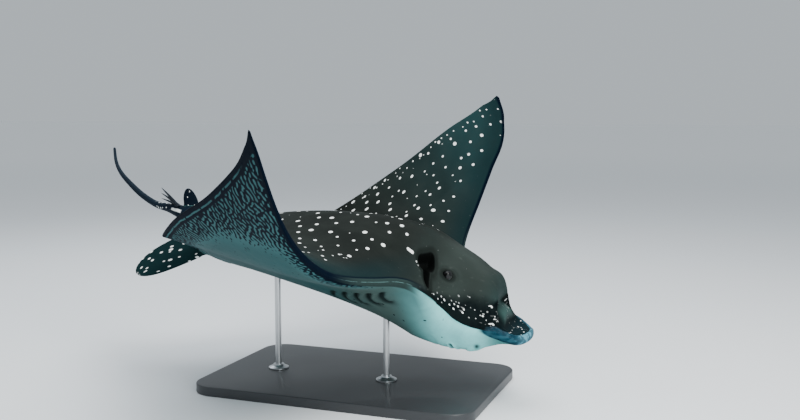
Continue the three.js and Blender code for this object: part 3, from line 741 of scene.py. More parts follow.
# Grid lines of a small fin from its root to its tip, and from one edge to the other.
LEAF_ROWS = np.concatenate([np.linspace(0, 0.94, 25), [0.96, 0.975, 0.987, 0.995, 1]])
LEAF_COLUMNS = np.concatenate([[0, 0.006, 0.018, 0.04], np.linspace(0.07, 0.93, 18),
                               [0.96, 0.982, 0.994, 1]])
# Boxes that get a finer grid, twice over: [side, back from, back to, out from, out to].
FINER = (
    [(1, 0.02, 0.165, 0.0, 0.125), (-1, 0.055, 0.135, 0.0, 0.07),
     (-1, 0.165, 0.28, 0.07, 0.16)],
    [(1, 0.122, 0.162, 0.066, 0.112), (1, 0.098, 0.134, 0.05, 0.085),
     (-1, 0.168, 0.276, 0.076, 0.158), (-1, 0.088, 0.112, 0.0, 0.052)],
)
FIN_TIP_LENGTH, FIN_ROUNDING = 0.385, 0.0032        # in shares of the disc width, in metres
# The eye's opening: its radius, its stretch along and across the head, and the folds round it
# as [distance out from the opening, width, height], in metres.
EYE_OPENING, EYE_STRETCH = EYE_RADIUS * 0.7, (1.16, 0.88)
LID_FOLDS = [(0.003, 0.004, 0.0024), (0.0095, 0.003, -0.0007), (0.015, 0.005, 0.0012)]
EYE_DEPTH, LID_EDGE, EYE_REACH = 0.0105, 0.0022, 0.05


def outline_slant(points, t):
    """How squarely the outline crosses the body's length, from 0 to 1."""
    step = 1e-4
    before, after = np.maximum(t - step, 0), np.minimum(t + step, 1)
    run = half_outline(points, after) - half_outline(points, before)
    return np.abs(run[..., 1]) / np.maximum(np.hypot(run[..., 0], run[..., 1]), 1e-9)


def disc_grid():
    """The disc as one closed grid in (t, v, layer), finer over the head's features."""
    t = np.concatenate([-COLUMNS[:0:-1], COLUMNS])
    grid_t, grid_v = np.meshgrid(t, ROWS, indexing="ij")
    inner = np.zeros(grid_t.shape, bool)
    inner[1:-1, 1:-1] = True
    _, _, faces = two_sided(inner)
    points = np.concatenate([
        np.stack([grid_t, grid_v, inner * 1.0], -1).reshape(-1, 3),
        np.stack([grid_t, grid_v, -1.0 * inner], -1)[inner]])
    mesh = bpy.data.meshes.new("disc")
    with edited(mesh) as bm:
        verts = [bm.verts.new(p) for p in points]
        for face in faces:
            bm.faces.new([verts[i] for i in face])
        for boxes in FINER:
            bm.faces.ensure_lookup_table()
            middle = np.array([f.calc_center_median() for f in bm.faces])
            back, out = plan_place(middle[:, 0], middle[:, 1])
            chosen = np.zeros(len(middle), bool)
            for layer, back0, back1, out0, out1 in boxes:
                chosen |= ((middle[:, 2] * layer > 0) & (back > back0) & (back < back1)
                           & (out >= out0) & (out < out1))
            edges = {e for i in np.flatnonzero(chosen) for e in bm.faces[i].edges}
            bmesh.ops.subdivide_edges(bm, edges=list(edges), cuts=1, use_grid_fill=True)
    return mesh


def climb_from_rim(t, back, place):
    """How far each point stands in from the rim of the head at the same distance back."""
    climb = np.zeros(len(t))
    along = np.linspace(0.0, 0.5, 600)
    edge_back = np.maximum.accumulate(half_outline(FRONT_EDGE, along)[:, 0])
    for sign in (-1, 1):
        rim = to_world(disc_point(sign * along, 0 * along, along >= 0, 0 * along))
        own = np.sign(t) == sign
        facing = np.stack([np.interp(back[own], edge_back, rim[:, k]) for k in range(3)], -1)
        climb[own] = np.linalg.norm(place[own] - facing, axis=1)
    return climb


def eye_frame(sign):
    """An eye's middle, the way it looks out of the head, and its way toward the snout."""
    back, out, up = EYE_PLACE
    centre, inner, behind = bend_body(*np.array([
        (back, sign * out, up), (back + 0.004, 0.0, -0.002), (back + 0.01, sign * out, up)]).T)
    outward = unit((centre - inner) @ TURN.T)
    fore = to_world(centre) - to_world(behind)
    return to_world(centre), outward, unit(fore - outward * (fore @ outward))


def eyelids(place, upper):
    """Height of the skin round both eyes, and the distance to the nearer eye's opening."""
    height, gap = np.zeros(len(place)), np.ones(len(place))
    for sign in (-1, 1):
        eye, outward, fore = eye_frame(sign)
        ray = place - eye
        reach = np.hypot(ray @ fore / EYE_STRETCH[0],
                         ray @ np.cross(outward, fore) / EYE_STRETCH[1]) - EYE_OPENING
        folds = sum(rise * bell(reach - at, width) for at, width, rise in LID_FOLDS)
        near = (np.linalg.norm(ray, axis=1) < EYE_REACH) & upper
        height += np.where(near, folds - EYE_DEPTH * smooth(-reach / LID_EDGE), 0)
        gap = np.where(near, np.minimum(gap, reach), gap)
    return height, gap


def disc_object():
    """The disc with its folds, and what the skin's pattern reads at each point."""
    mesh = disc_grid()
    t, v, layer = numbers(mesh.vertices, "co", 3).T
    upper, size = layer >= 0, np.abs(t)
    back, out = plan_place(t, v)
    chord = half_outline(REAR_EDGE, size)[:, 0] - half_outline(FRONT_EDGE, size)[:, 0]
    from_front = v * chord * outline_slant(FRONT_EDGE, size) * DISC
    from_rear = (1 - v) * chord * outline_slant(REAR_EDGE, size) * DISC
    from_rim = np.minimum(np.minimum(from_front, from_rear), (1 - size) * FIN_TIP_LENGTH * DISC)
    place = to_world(disc_point(t, v, upper, round_edge(from_rim / FIN_ROUNDING)))
    set_places(mesh, place)
    normal = numbers(mesh.vertex_normals, "vector", 3)
    in_edge = np.minimum(v * chord, np.maximum((profile(SIDE, back) - out) * 0.9, 0))
    top, pit, cheek = top_features(back, out, in_edge)
    below, dark = under_features(back, out)
    lids, eye_gap = eyelids(place, upper)
    height = np.where(upper, top, below) * (layer != 0) + lids
    place = place + normal * height[:, None]
    set_places(mesh, place)
    add_vectors(mesh, "plan", back * DISC, np.sign(t) * out * DISC, np.sign(layer))
    add_vectors(mesh, "edge", from_front, from_rear, 0)
    # The head values: distance to the spiracle or the eye opening, where painted shade goes,
    # distance to the dark band, and the painted shade in the underside's folds.
    add_vectors(mesh, "head", np.minimum(np.where(upper, pit, 0.1), eye_gap),
                np.where(upper, cheek, -0.1), np.where(upper, 0, dark))
    add_vectors(mesh, "lip", in_edge * DISC, 0, climb_from_rim(t, back, place))
    return new_object("ray_skin", mesh)


def mark_limb(mesh, part, along, beside, above, inset=1.0):
    """Stores what the skin's pattern reads on the tail (part 1) and on the small fins."""
    add_vectors(mesh, "plan", along, beside, above)
    add_vectors(mesh, "edge", inset, inset, part)
    add_vectors(mesh, "head", 0.1, -0.1, 0)
    add_vectors(mesh, "lip", 1, 0, 0)


def tail_object():
    """The tail, thinning to a rounded point."""
    centres, run = smooth_route(placed(TAIL_ROUTE), TAIL_STEPS)
    to_end = np.maximum(run[-1] - run, 1e-5)
    radii = profile(TAIL_RADIUS, run / DISC) * DISC * round_edge(to_end / TAIL_POINT)
    points, faces, above, beside = tube(centres, radii, TAIL_SIDES)
    mesh = faced_out(mesh_of("tail", points, faces))
    along = np.append(np.repeat(run, TAIL_SIDES), [run[0], run[-1]])
    mark_limb(mesh, 1, along, beside * 0.1, above)
    return new_object("tail", mesh)


def leaf_object(name, part, root_front, root_rear, tip, thick, edge, lean=0.0):
    """A small fin, thickest at its root and rounded at its rim."""
    front, rear, end = placed([root_front, root_rear, tip])
    middle, chord = (front + rear) / 2, rear - front
    normal = unit(np.cross(chord, end - middle))
    up, around = np.meshgrid(LEAF_ROWS, LEAF_COLUMNS, indexing="ij")
    across = 2 * around - 1
    width = np.maximum((1 - up ** LEAF_BLUNTNESS) ** 0.5, 0.04)
    inset = np.minimum((1 - np.abs(across)) * width * np.linalg.norm(chord) / 2,
                       (1 - up) * np.linalg.norm(end - middle))
    half = ((edge + (thick - edge) * (1 - up) * np.sqrt(1 - across * across * 0.98))
            * round_edge(inset / LEAF_ROUNDING))[..., None]
    sheet = (middle + (end - middle) * up[..., None]
             + chord * (lean * np.sin(np.pi * up) + across / 2 * width)[..., None])
    inner = np.zeros(up.shape, bool)
    inner[:-1, 1:-1] = True
    index, below, faces = two_sided(inner)
    points = np.concatenate([(sheet + normal * half).reshape(-1, 3),
                             (sheet - normal * half)[inner]])
    faces.append([*index[0], *below[0, -2:0:-1]])
    mesh = faced_out(mesh_of(name, points, faces))
    along, beside, inset = (np.concatenate([a.ravel(), a[inner]]) for a in (up, across, inset))
    above = np.concatenate([inner.ravel() * 1.0, -np.ones(inner.sum())])
    mark_limb(mesh, part, along * 0.13, beside * 0.05, above, inset)
    return new_object(name, mesh)


def mark_part(made, number):
    """Numbers a mesh's faces by the part of the body they belong to."""
    mark = made.data.attributes.new("part", "INT", "FACE")
    mark.data.foreach_set("value", [number] * len(made.data.polygons))


def seam_edges(bm, mark):
    """Edges where two parts of the body meet."""
    return [e for e in bm.edges if len(e.link_faces) == 2
            and e.link_faces[0][mark] != e.link_faces[1][mark]]


def fillet(mesh, reach, rounds):
    """Softens the skin within reach of the lines where two parts of the body meet."""
    with edited(mesh) as bm:
        mark = bm.faces.layers.int["part"]
        for _ in range(2):
            ring = {v for e in seam_edges(bm, mark) for v in e.verts}
            for _ in range(3):
                ring |= {e.other_vert(v) for v in ring for e in v.link_edges}
            coarse = {e for v in ring for e in v.link_edges if e.calc_length() > SEAM_EDGE}
            bmesh.ops.subdivide_edges(bm, edges=list(coarse), cuts=1)
            bmesh.ops.triangulate(bm, faces=[f for f in bm.faces if len(f.verts) > 4])
        seam = [e.verts[0].co.copy() for e in seam_edges(bm, mark)]
        tree = KDTree(len(seam))
        for i, point in enumerate(seam):
            tree.insert(point, i)
        tree.balance()
        bm.verts.ensure_lookup_table()
        place = np.array([v.co for v in bm.verts])
        weight = smooth(1 - np.array([tree.find(p)[2] for p in place]) / reach)
        pairs = np.array([[e.verts[0].index, e.verts[1].index] for e in bm.edges])
        pairs = pairs[(weight[pairs] > 0).any(1)]
        for _ in range(rounds):
            total, count = np.zeros_like(place), np.zeros(len(place))
            np.add.at(total, pairs[:, 0], place[pairs[:, 1]])
            np.add.at(total, pairs[:, 1], place[pairs[:, 0]])
            np.add.at(count, pairs.ravel(), 1)
            pull = np.where(count > 0, weight / 2, 0)[:, None]
            place = place + pull * (total / np.maximum(count, 1)[:, None] - place)
        for vert, point in zip(bm.verts, place):
            vert.co = point
    mesh.update()


def skin_object():
    """Disc, tail and small fins as one closed skin."""
    skin = disc_object()
    parts = [tail_object()]
    for side, tip in PELVIC_TIPS:
        root = (0.498, side * 0.026, -0.014), (0.566, side * 0.018, -0.002)
        parts.append(leaf_object("pelvic", 2, *root, tip, thick=0.0065 * DISC, edge=0.0016,
                                 lean=0.06))
    parts.append(leaf_object("dorsal", 3, (0.548, 0, 0.032), (0.58, 0, 0.032),
                             (0.583, 0, 0.073), thick=0.004 * DISC, edge=0.0014))
    mark_part(skin, 0)
    for number, part in enumerate(parts, 1):
        mark_part(part, number)
        skin = combined(skin, part)
    fillet(skin.data, SEAM_REACH, SEAM_ROUNDS)
    skin.data.attributes.remove(skin.data.attributes["part"])
    skin.name = skin.data.name = "ray_skin"
    shade_smooth(skin.data)
    return skin


# ---- Skin pattern --------------------
# Colours of small touches, beside those in the settings.
TONE = SimpleNamespace(
    nape=(0.034, 0.0455, 0.041), back_mottle=(0.034, 0.042, 0.037),
    back_shade=(0.004, 0.0052, 0.0046), scratch=(0.06, 0.07, 0.064),
    fin_front=(0.006, 0.018, 0.02), bill=(0.001, 0.003, 0.004),
    bill_mottle=(0.006, 0.01, 0.01), bill_front=(0.004, 0.018, 0.024),
    # The last two colours on the next line are painted highlights on the lip: a streaked one all
    # over and a brighter one at its tip.
    pad=(0.034, 0.078, 0.07), lip_sheen=(0.045, 0.15, 0.19), lip_tip_highlight=(0.13, 0.37, 0.47),
    # The first two colours on the next line are painted shade on the white underside: at
    # mid-belly, and forward under the bill.
    breast_shade=(0.058, 0.094, 0.086), chin_shade=(0.09, 0.3, 0.29), belly_mottle=(0.03, 0.085, 0.09),
    # The last colour on the next line is painted shade in the folds of the underside: gill slits,
    # mouth, nostrils and vent.
    cell=(0.05, 0.14, 0.148), cell_shade=(0.016, 0.06, 0.07), fold=(0.011, 0.02, 0.02),
    rim=(0.02, 0.034, 0.032), rim_line=(0.085, 0.16, 0.155), tail=(0.003, 0.007, 0.014),
    tail_mottle=(0.008, 0.018, 0.03), pelvic=(0.004, 0.014, 0.016),
    pelvic_mottle=(0.008, 0.026, 0.028), dorsal=(0.002, 0.004, 0.009),
    # The last colour on the next line and the one after it are painted shade inside the spiracles
    # and the eye openings, and in a ring round them.
    dorsal_mottle=(0.006, 0.012, 0.02), pit=(0.0025, 0.003, 0.0028),
    pit_rim_shade=(0.006, 0.008, 0.007))
SIDES_APART = 3.7                 # sets the patterns of the two sides apart
SPOT_SLANT = 0.42                 # turn of the spots' rows against the body, in radians
SPOTS_BEGIN = 0.15                # how far back the spots begin, in shares of the disc width
LIP_TOP, LIP_UNDER = 0.0108, 0.01          # widths of the lip's band, in metres
PAD_BACK, PAD_HALF = 0.0415, 0.0085          # the pad across the bill: share, metres
MAZE_OUT, MAZE_BACK = 0.24, 0.43             # the maze's inner limit, in shares
DOT_CELL, DASH_CELL = 0.0118, 0.036          # lengths along the cheek, in metres
CLIMB_CELL = 0.01               # from one row of the cheek's dots to the next, in metres
# White marks behind the spiracle, in shares of the disc width except for the radius, which is
# in metres: [back, out, half length back, half length out, radius].
CHEEK_MARKS = [(0.1656, 0.0977, 0.003, 0.0009, 0.0032), (0.1535, 0.1003, 0.0, 0.0, 0.0019),
               (0.15, 0.1012, 0.0, 0.0, 0.0012)]


class SkinPlaces:
    """Where the points of the skin lie, as the sockets that its pattern is drawn from."""

    def __init__(self, look):
        self.back, self.across, self.side = look.split(look.attribute("plan"))
        self.front, self.rear, self.part = look.split(look.attribute("edge"))
        # The third head value is the painted shade in the folds of the underside.
        self.pit, self.cheek, self.dark = look.split(look.attribute("head"))
        self.lip, _, self.climb = look.split(look.attribute("lip"))
        self.out, self.place = abs(self.across), look.place()
        self.wide, self.long = self.out / DISC, self.back / DISC
        self.shift = self.across.step(-0.001, 0.001) * SIDES_APART
        self.coarse = look.noise(self.place, 4.0, 3.0, 0.55)
        self.fine = look.noise(self.place, 38.0, 4.0, 0.6)
        self.grit = look.noise(self.place, 260.0, 3.0, 0.6)
        self.mottle = look.noise(self.place, 11.0, 5.0, 0.65, 0.4)
        self.brushed = look.noise(look.stretch(self.place, (0.22, 1, 1)), 95.0, 3.0, 0.5)
        self.grain = self.fine - 0.5


def cheek_marks(s):
    """The white marks behind the spiracle."""
    marks = 0.0
    for back, out, half_back, half_out, radius in CHEEK_MARKS:
        b, o = s.back - back * DISC, s.out - out * DISC
        length = math.hypot(half_back, half_out)
        if length:
            lean_back, lean_out = half_back / length, half_out / length
            beside = o * lean_back - b * lean_out
            b, o = (abs(b * lean_back + o * lean_out) - length * DISC).most(0.0), beside
        away = (b * b + o * o) ** 0.5
        mark = (radius - away + s.grain * 0.0012).step(-0.0006, 0.0006)
        marks = mark.most(marks)
    return marks


def back_spots(look, p, s):
    """White spots of the upper side: over the back, by the fins' rear edge and by the cheek."""
    cell, c, n = p.spot_spacing, math.cos(SPOT_SLANT), math.sin(SPOT_SLANT)
    u = (s.back * c + s.out * n) / cell + s.shift
    w = (s.out * c - s.back * n) / cell + s.shift
    spots = look.scatter(look.join(u, w), 0.62)
    cu, cw, _ = look.split(spots.centre)
    cu, cw = (cu - s.shift) * cell, (cw - s.shift) * cell
    spot_back, spot_out = cu * c - cw * n, cu * n + cw * c
    begins = (SPOTS_BEGIN * DISC + spot_out * 0.35
              - spot_out.hump(0.085 * DISC, 0.035 * DISC) * 0.045)
    radius = (0.42 + 0.45 * spots.chance) * p.spot_radius / cell
    radius = (radius * (1 - 0.72 * spots.other.step(0.8, 0.84))
              * (spot_back - begins).step(-0.001, 0.001))
    spot = (radius - spots.distance + s.grain * 0.03).step(-0.012, 0.014)
    row = look.scatter(look.join(u * 1.75 + 9.3, w * 1.75), 0.5)
    spot = spot.most(dots(row, 0.06, 0.05, 0.02) * s.rear.step(0.034, 0.026)
                     * s.rear.step(0.003, 0.006) * s.wide.step(0.1, 0.16))
    tiny = look.scatter(look.join(u * 2.1 + 4.1, w * 2.6), 0.8)
    spot = spot.most(dots(tiny, 0.07, 0.1, 0.03) * tiny.other.step(0.6, 0.64)
                     * s.out.hump(0.197 * DISC, 0.024 * DISC).step(0.15, 0.4)
                     * s.back.hump(0.243 * DISC, 0.032 * DISC).step(0.15, 0.4))
    return spot.most(cheek_marks(s)) * s.front.step(0.004, 0.009)


def back_colour(look, p, s, spot):
    """The upper side: dark, greener toward the fin edges and the snout, with white spots."""
    fin_front = s.front.step(0.075, 0.01) * s.back.step(0.22, 0.32)
    return look.mix(
        p.back,
        ((s.out / (DISC / 2)).clamp().step(0.35, 0.95), p.back_edge),
        (s.back.step(0.32, 0.17), TONE.nape),
        (s.back.step(0.13, 0.06) * 0.8, p.snout),
        (s.mottle.step(0.35, 0.75) * 0.25, TONE.back_mottle),
        (s.coarse.step(0.62, 0.3) * 0.45, TONE.back_shade),
        (s.brushed.step(0.62, 0.74) * s.back.step(0.3, 0.22) * 0.35, TONE.scratch),
        (fin_front * 0.75, TONE.fin_front),
        (s.front.step(0.008, 0.003) * s.back.step(0.21, 0.26), p.line),
        (spot, p.spot))


def lip_colour_of(look, p, s):
    """The thick lip round the snout lobe, with painted highlights, streaked by the brushed noise,
    that grow brighter toward its tip.
    """
    sheen = (s.brushed + (s.mottle - 0.5) * 0.6).step(0.48, 0.62)
    return look.mix(look.mix(p.line, (s.mottle.step(0.35, 0.7), p.lip)),
                    (sheen * 0.35, TONE.lip_sheen),
                    (s.back.step(0.034, 0.008) * (0.35 + 0.65 * sheen) * 0.75, TONE.lip_tip_highlight))


def bill_dots(look, s, on_lip):
    """Rows of small white dots and dashes along the cheek and over the bill."""
    along = s.back * 0.78 + s.out * 0.62 + s.shift
    row = s.climb / CLIMB_CELL + s.mottle * 0.5
    small = look.scatter(look.join(along / DOT_CELL + s.mottle * 0.8, row), 0.8)
    long = look.scatter(look.join(along / DASH_CELL + 0.37, row + 0.5), 0.6)
    dot = dots(small, 0.09, 0.12, 0.045) * small.other.step(0.22, 0.26)
    dash = dots(long, 0.07, 0.1, 0.03) * long.other.step(0.25, 0.3)
    dash = dash * s.back.step(0.16, 0.13) * s.back.step(0.07, 0.084)
    edgeward = s.climb.step(0.05, 0.03).most(
        small.other.step(0.84, 0.88) * s.climb.step(0.085, 0.07))
    dot = dot * edgeward * s.back.step(0.066, 0.084).most(s.climb.step(0.019, 0.012))
    tip = look.scatter(look.stretch(s.place, (1 / 0.011,) * 3), 0.8, "3D")
    dot = dot.most(dots(tip, 0.09, 0.14, 0.04) * s.back.step(0.058, 0.046))
    return dot.most(dash * edgeward) * (1 - on_lip) * s.lip.step(0.0012, 0.0026)


def bill_colour(look, p, s, lip, pad, on_lip):
    """The dark band along the cheek, which widens over the bill."""
    return look.mix(
        look.mix(TONE.bill, (s.mottle.step(0.35, 0.7), TONE.bill_mottle)),
        (s.back.step(0.075, 0.03) * 0.7, TONE.bill_front),
        (pad * 0.8, TONE.pad),
        (bill_dots(look, s, on_lip), p.spot),
        (on_lip * s.back.step(0.1, 0.092), lip))


def maze_lines(look, p, s):
    """Dark lines and margins under the fins, how far inside the maze a point is, and the
    distance past the maze's inner limit."""
    wander = look.noise(look.join(s.back, s.out, s.shift), 16.0, 2.0) - 0.5
    outer = s.wide.step(0.3, 0.4) * s.long.step(0.29, 0.36)
    cell = 2 * p.line_spacing
    maze = look.node("ShaderNodeTexGabor", {"gabor_type": "2D"}, {
        "Vector": look.join(s.back / cell + wander * 0.9,
                            s.out / cell + s.grain * 0.12 + s.shift),
        "Scale": 1.0, "Frequency": 2.0, "Anisotropy": 0.26, 4: -0.62 - 0.45 * outer},
        out="Value")
    past = s.out - MAZE_OUT * DISC - (MAZE_BACK * DISC - s.back).clamp() * 0.8
    reach = (past + wander * 0.08).step(-0.06, 0.06)
    reach = reach.most(s.rear.step(0.125, 0.06) * s.wide.step(0.035, 0.065))
    reach = reach.most(s.front.step(0.07, 0.02) * s.wide.step(0.17, 0.27))
    lines = (maze + s.grain * 0.06 + (reach - 1) * 0.34).step(0.415, 0.48)
    inside = s.rear + wander * 0.006 + s.grain * 0.004
    pale = (inside.hump(0.013, 0.0034).step(0.15, 0.6) * s.rear.step(0.008, 0.01)
            * look.noise(s.place, 34.0, 2.0, 0.5).step(0.35, 0.42) * s.wide.step(0.455, 0.42))
    lines = lines.most(inside.step(0.025, 0.0215) * reach) * (1 - pale * 0.85)
    lines = lines.most(s.front.step(0.011, 0.0075) * s.wide.step(0.2, 0.26))
    lines = lines.most(s.wide.step(0.483, 0.49)) * s.wide.step(0.035, 0.055)
    return lines, reach, past


def under_colour(look, p, s, lip, lines, reach, past):
    """The underside: painted light on the throat, fading into painted shade over the belly, under
    the bill and by the head's rim, with a maze of dark lines toward the fins' edges.
    """
    # Painted light, full on the throat and fading as painted shade back toward the belly, forward
    # under the bill and out by the head's rim.
    throat_light = s.back.step(0.325, 0.165) ** 2.0 * s.back.step(0.045, 0.125)
    throat_light = throat_light * (s.front.step(0.0, 0.03) * 0.6 + 0.4).most(s.back.step(0.26, 0.22))
    lip_edge = (LIP_UNDER * s.back.step(0.112, 0.045) - s.lip).step(-0.0006, 0.0008)
    shade = s.fine.step(0.6, 0.4) * 0.3 + past.step(0.02, 0.12) * 0.2
    # The base colour and the next three are painted shade and painted light on the white
    # underside.
    return look.mix(
        p.shaded_belly,
        (s.back.hump(0.33, 0.16), TONE.breast_shade),
        (throat_light, p.lit_throat),
        (s.back.step(0.1, 0.06) * 0.6, TONE.chin_shade),
        (s.mottle.step(0.4, 0.7) * 0.2, TONE.belly_mottle),
        (reach, TONE.cell),
        (reach * shade, TONE.cell_shade),
        (lines, p.line),
        # Painted shade in the folds of the underside.
        (s.dark * (0.75 + 0.5 * s.fine), TONE.fold),
        (lip_edge * s.back.step(0.114, 0.106), lip))


def limb_colours(look, p, s):
    """Tail, pelvic fins and dorsal fin, each as (share, colour)."""
    streak = (s.back.hump(0.17, 0.034).step(0.1, 0.4)
              * (s.side - 0.1 + s.grain * 0.3).hump(0.0, 0.34).step(0.1, 0.5)
              * s.across.step(0.0, -0.05))
    specks = look.scatter(look.stretch(s.place, (1 / 0.02, 1 / 0.012, 1 / 0.012)), 0.8, "3D")
    speck = (dots(specks, 0.13, 0.16, 0.03) * s.back.hump(0.255, 0.075).step(0.0, 0.3)
             * s.across.step(0.03, -0.03))
    fin = look.scatter(look.join(s.back / 0.024, s.across / 0.0205), 0.85)
    dot = dots(fin, 0.08, 0.09, 0.03)
    return [(s.part.hump(number, 0.5), look.mix(base, (s.mottle, mottle), (marks, p.spot)))
            for number, base, mottle, marks in (
                (1.0, TONE.tail, TONE.tail_mottle, streak.most(speck)),
                (2.0, TONE.pelvic, TONE.pelvic_mottle, dot),
                (3.0, TONE.dorsal, TONE.dorsal_mottle, dot * fin.other.step(0.68, 0.72)))]


def skin_look(p):
    look = Look("spotted skin")
    s = SkinPlaces(look)
    upper = s.side.step(-0.35, 0.05)
    band = (s.cheek + s.grain * 0.006).step(-0.009, 0.004) * s.back.step(0.245, 0.225)
    behind_pad = s.back - (PAD_BACK * DISC - s.out * s.out * (BROW_BOW / DISC))
    pad = behind_pad.hump(0.0, PAD_HALF) * s.out.step(0.056, 0.026)
    on_lip = (LIP_TOP * s.back.step(0.098, 0.034) - s.lip).step(-0.0008, 0.0008)
    lip = lip_colour_of(look, p, s)
    spot = back_spots(look, p, s)
    lines, reach, past = maze_lines(look, p, s)
    near_rim = (s.front.step(0.004, 0.0022) * s.back.step(0.225, 0.255)
                * s.wide.step(0.3, 0.22))
    rim_line = near_rim * s.side.hump(0.3, 0.34).step(0.1, 0.5) * s.fine.step(0.36, 0.5)
    # Painted shade inside the spiracles and the eye openings, with a fainter ring of painted shade
    # round them.
    hollow = s.pit.step(0.0015, -0.0015)
    over = look.mix(back_colour(look, p, s, spot),
                    (band, bill_colour(look, p, s, lip, pad, on_lip)))
    skin = look.mix(
        under_colour(look, p, s, lip, lines, reach, past), (upper, over),
        (near_rim, TONE.rim), (rim_line, TONE.rim_line), *limb_colours(look, p, s),
        (hollow, TONE.pit), (s.pit.hump(0.003, 0.009) * (1 - hollow) * 0.7, TONE.pit_rim_shade))
    wet = (band * on_lip * s.back.step(0.1, 0.092)).most(pad * band)
    relief = look.bump(s.grit * 0.35 + s.fine * 0.65, 0.0006, 0.45)
    relief = look.bump(lines * (1 - upper) - spot * upper * 0.6, 0.0003, 0.35, relief)
    look.set(Base_Color=skin, Roughness=0.46 + 0.16 * s.fine + 0.06 * spot,
             Specular_IOR_Level=0.012, Coat_Weight=0.006 + 0.16 * wet, Coat_Roughness=0.24,
             Normal=relief)
    return look.material


class RAY_OT_skin(bpy.types.Operator):
    """Builds the skin over the disc, the tail and the small fins"""

    bl_idname = "eagle_ray.skin"
    bl_label = "Skin"

    def execute(self, context):
        skin = skin_object()
        skin.data.materials.clear()
        skin.data.materials.append(skin_look(context.scene.ray_skin))
        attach(skin, "root")
        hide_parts("rostral_lobe", "head", "trunk", "hips", "tail_base", "tail_middle",
                    "tail_tip", "pectoral_fin_left", "pectoral_fin_right", "pelvic_fin_left",
                    "pelvic_fin_right", "dorsal_fin")
        return {"FINISHED"}


# ---- Eyes --------------------
CORNEA_RISE, IRIS_ANGLE = 0.0016, 0.95              # in metres, in radians


def eye_look(p):
    look = Look("glassy eye")
    ring = look.split(look.attribute("iris"))[0]
    flecks = look.noise(look.place(), 900.0, 3.0, 0.6)
    pupil, fleck, white = (0.001, 0.001, 0.001), (0.008, 0.008, 0.006), (0.008, 0.01, 0.009)
    iris = look.mix(p.eye, (flecks.step(0.45, 0.8), fleck))
    ball = look.mix(pupil, (ring.step(0.42, 0.5), iris), (ring.step(0.8, 0.95), white))
    look.set(Base_Color=ball, Roughness=0.2 + 0.05 * flecks, Specular_IOR_Level=0.22,
             Coat_Weight=0.12, Coat_Roughness=0.08)
    return look.material


class RAY_OT_eyes(bpy.types.Operator):
    """Builds both eyes"""

    bl_idname = "eagle_ray.eyes"
    bl_label = "Eyes"

    def execute(self, context):
        glass = eye_look(context.scene.ray_parts)
        for sign, name in ((1, "eye_left"), (-1, "eye_right")):
            low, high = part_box(name)
            mesh = bpy.data.meshes.new(f"{name}_ball")
            with edited(mesh) as bm:
                bmesh.ops.create_uvsphere(bm, u_segments=36, v_segments=24, radius=EYE_RADIUS)
            local = numbers(mesh.vertices, "co", 3)
            off_axis = np.arctan2(np.hypot(local[:, 0], local[:, 1]), local[:, 2])
            local[:, 2] += CORNEA_RISE * smooth((0.75 - off_axis) / 0.5)
            set_places(mesh, local)
            spin = Vector(eye_frame(sign)[1]).to_track_quat("Z", "Y").to_matrix().to_4x4()
            mesh.transform(Matrix.Translation((low + high) / 2) @ spin)
            add_vectors(mesh, "iris", off_axis / IRIS_ANGLE, 0, 0)
            shade_smooth(mesh)
            mesh.materials.append(glass)
            ball = new_object(f"{name}_ball", mesh)
            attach(ball, "root")
            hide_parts(name)
        return {"FINISHED"}


# ---- Tail spines --------------------
SPINE_ROOT, SPINE_SPACING = (0.594, 0.006, 0.041), 0.0062
SPINE_TIPS = [(0.629, -0.006, 0.066), (0.635, 0.006, 0.058), (0.643, 0.022, 0.05)]
SPINE_STEPS, SPINE_SIDES, SPINE_SQUASH = 40, 14, 0.62
SPINE_RADIUS, SPINE_POINT, SPINE_BOW, SPINE_RIDGE = 0.0082, 0.0004, 0.0016, 0.16
BARBED, BARB_LENGTH, BARB_LEAN = slice(8, 36), 0.0042, math.radians(148)


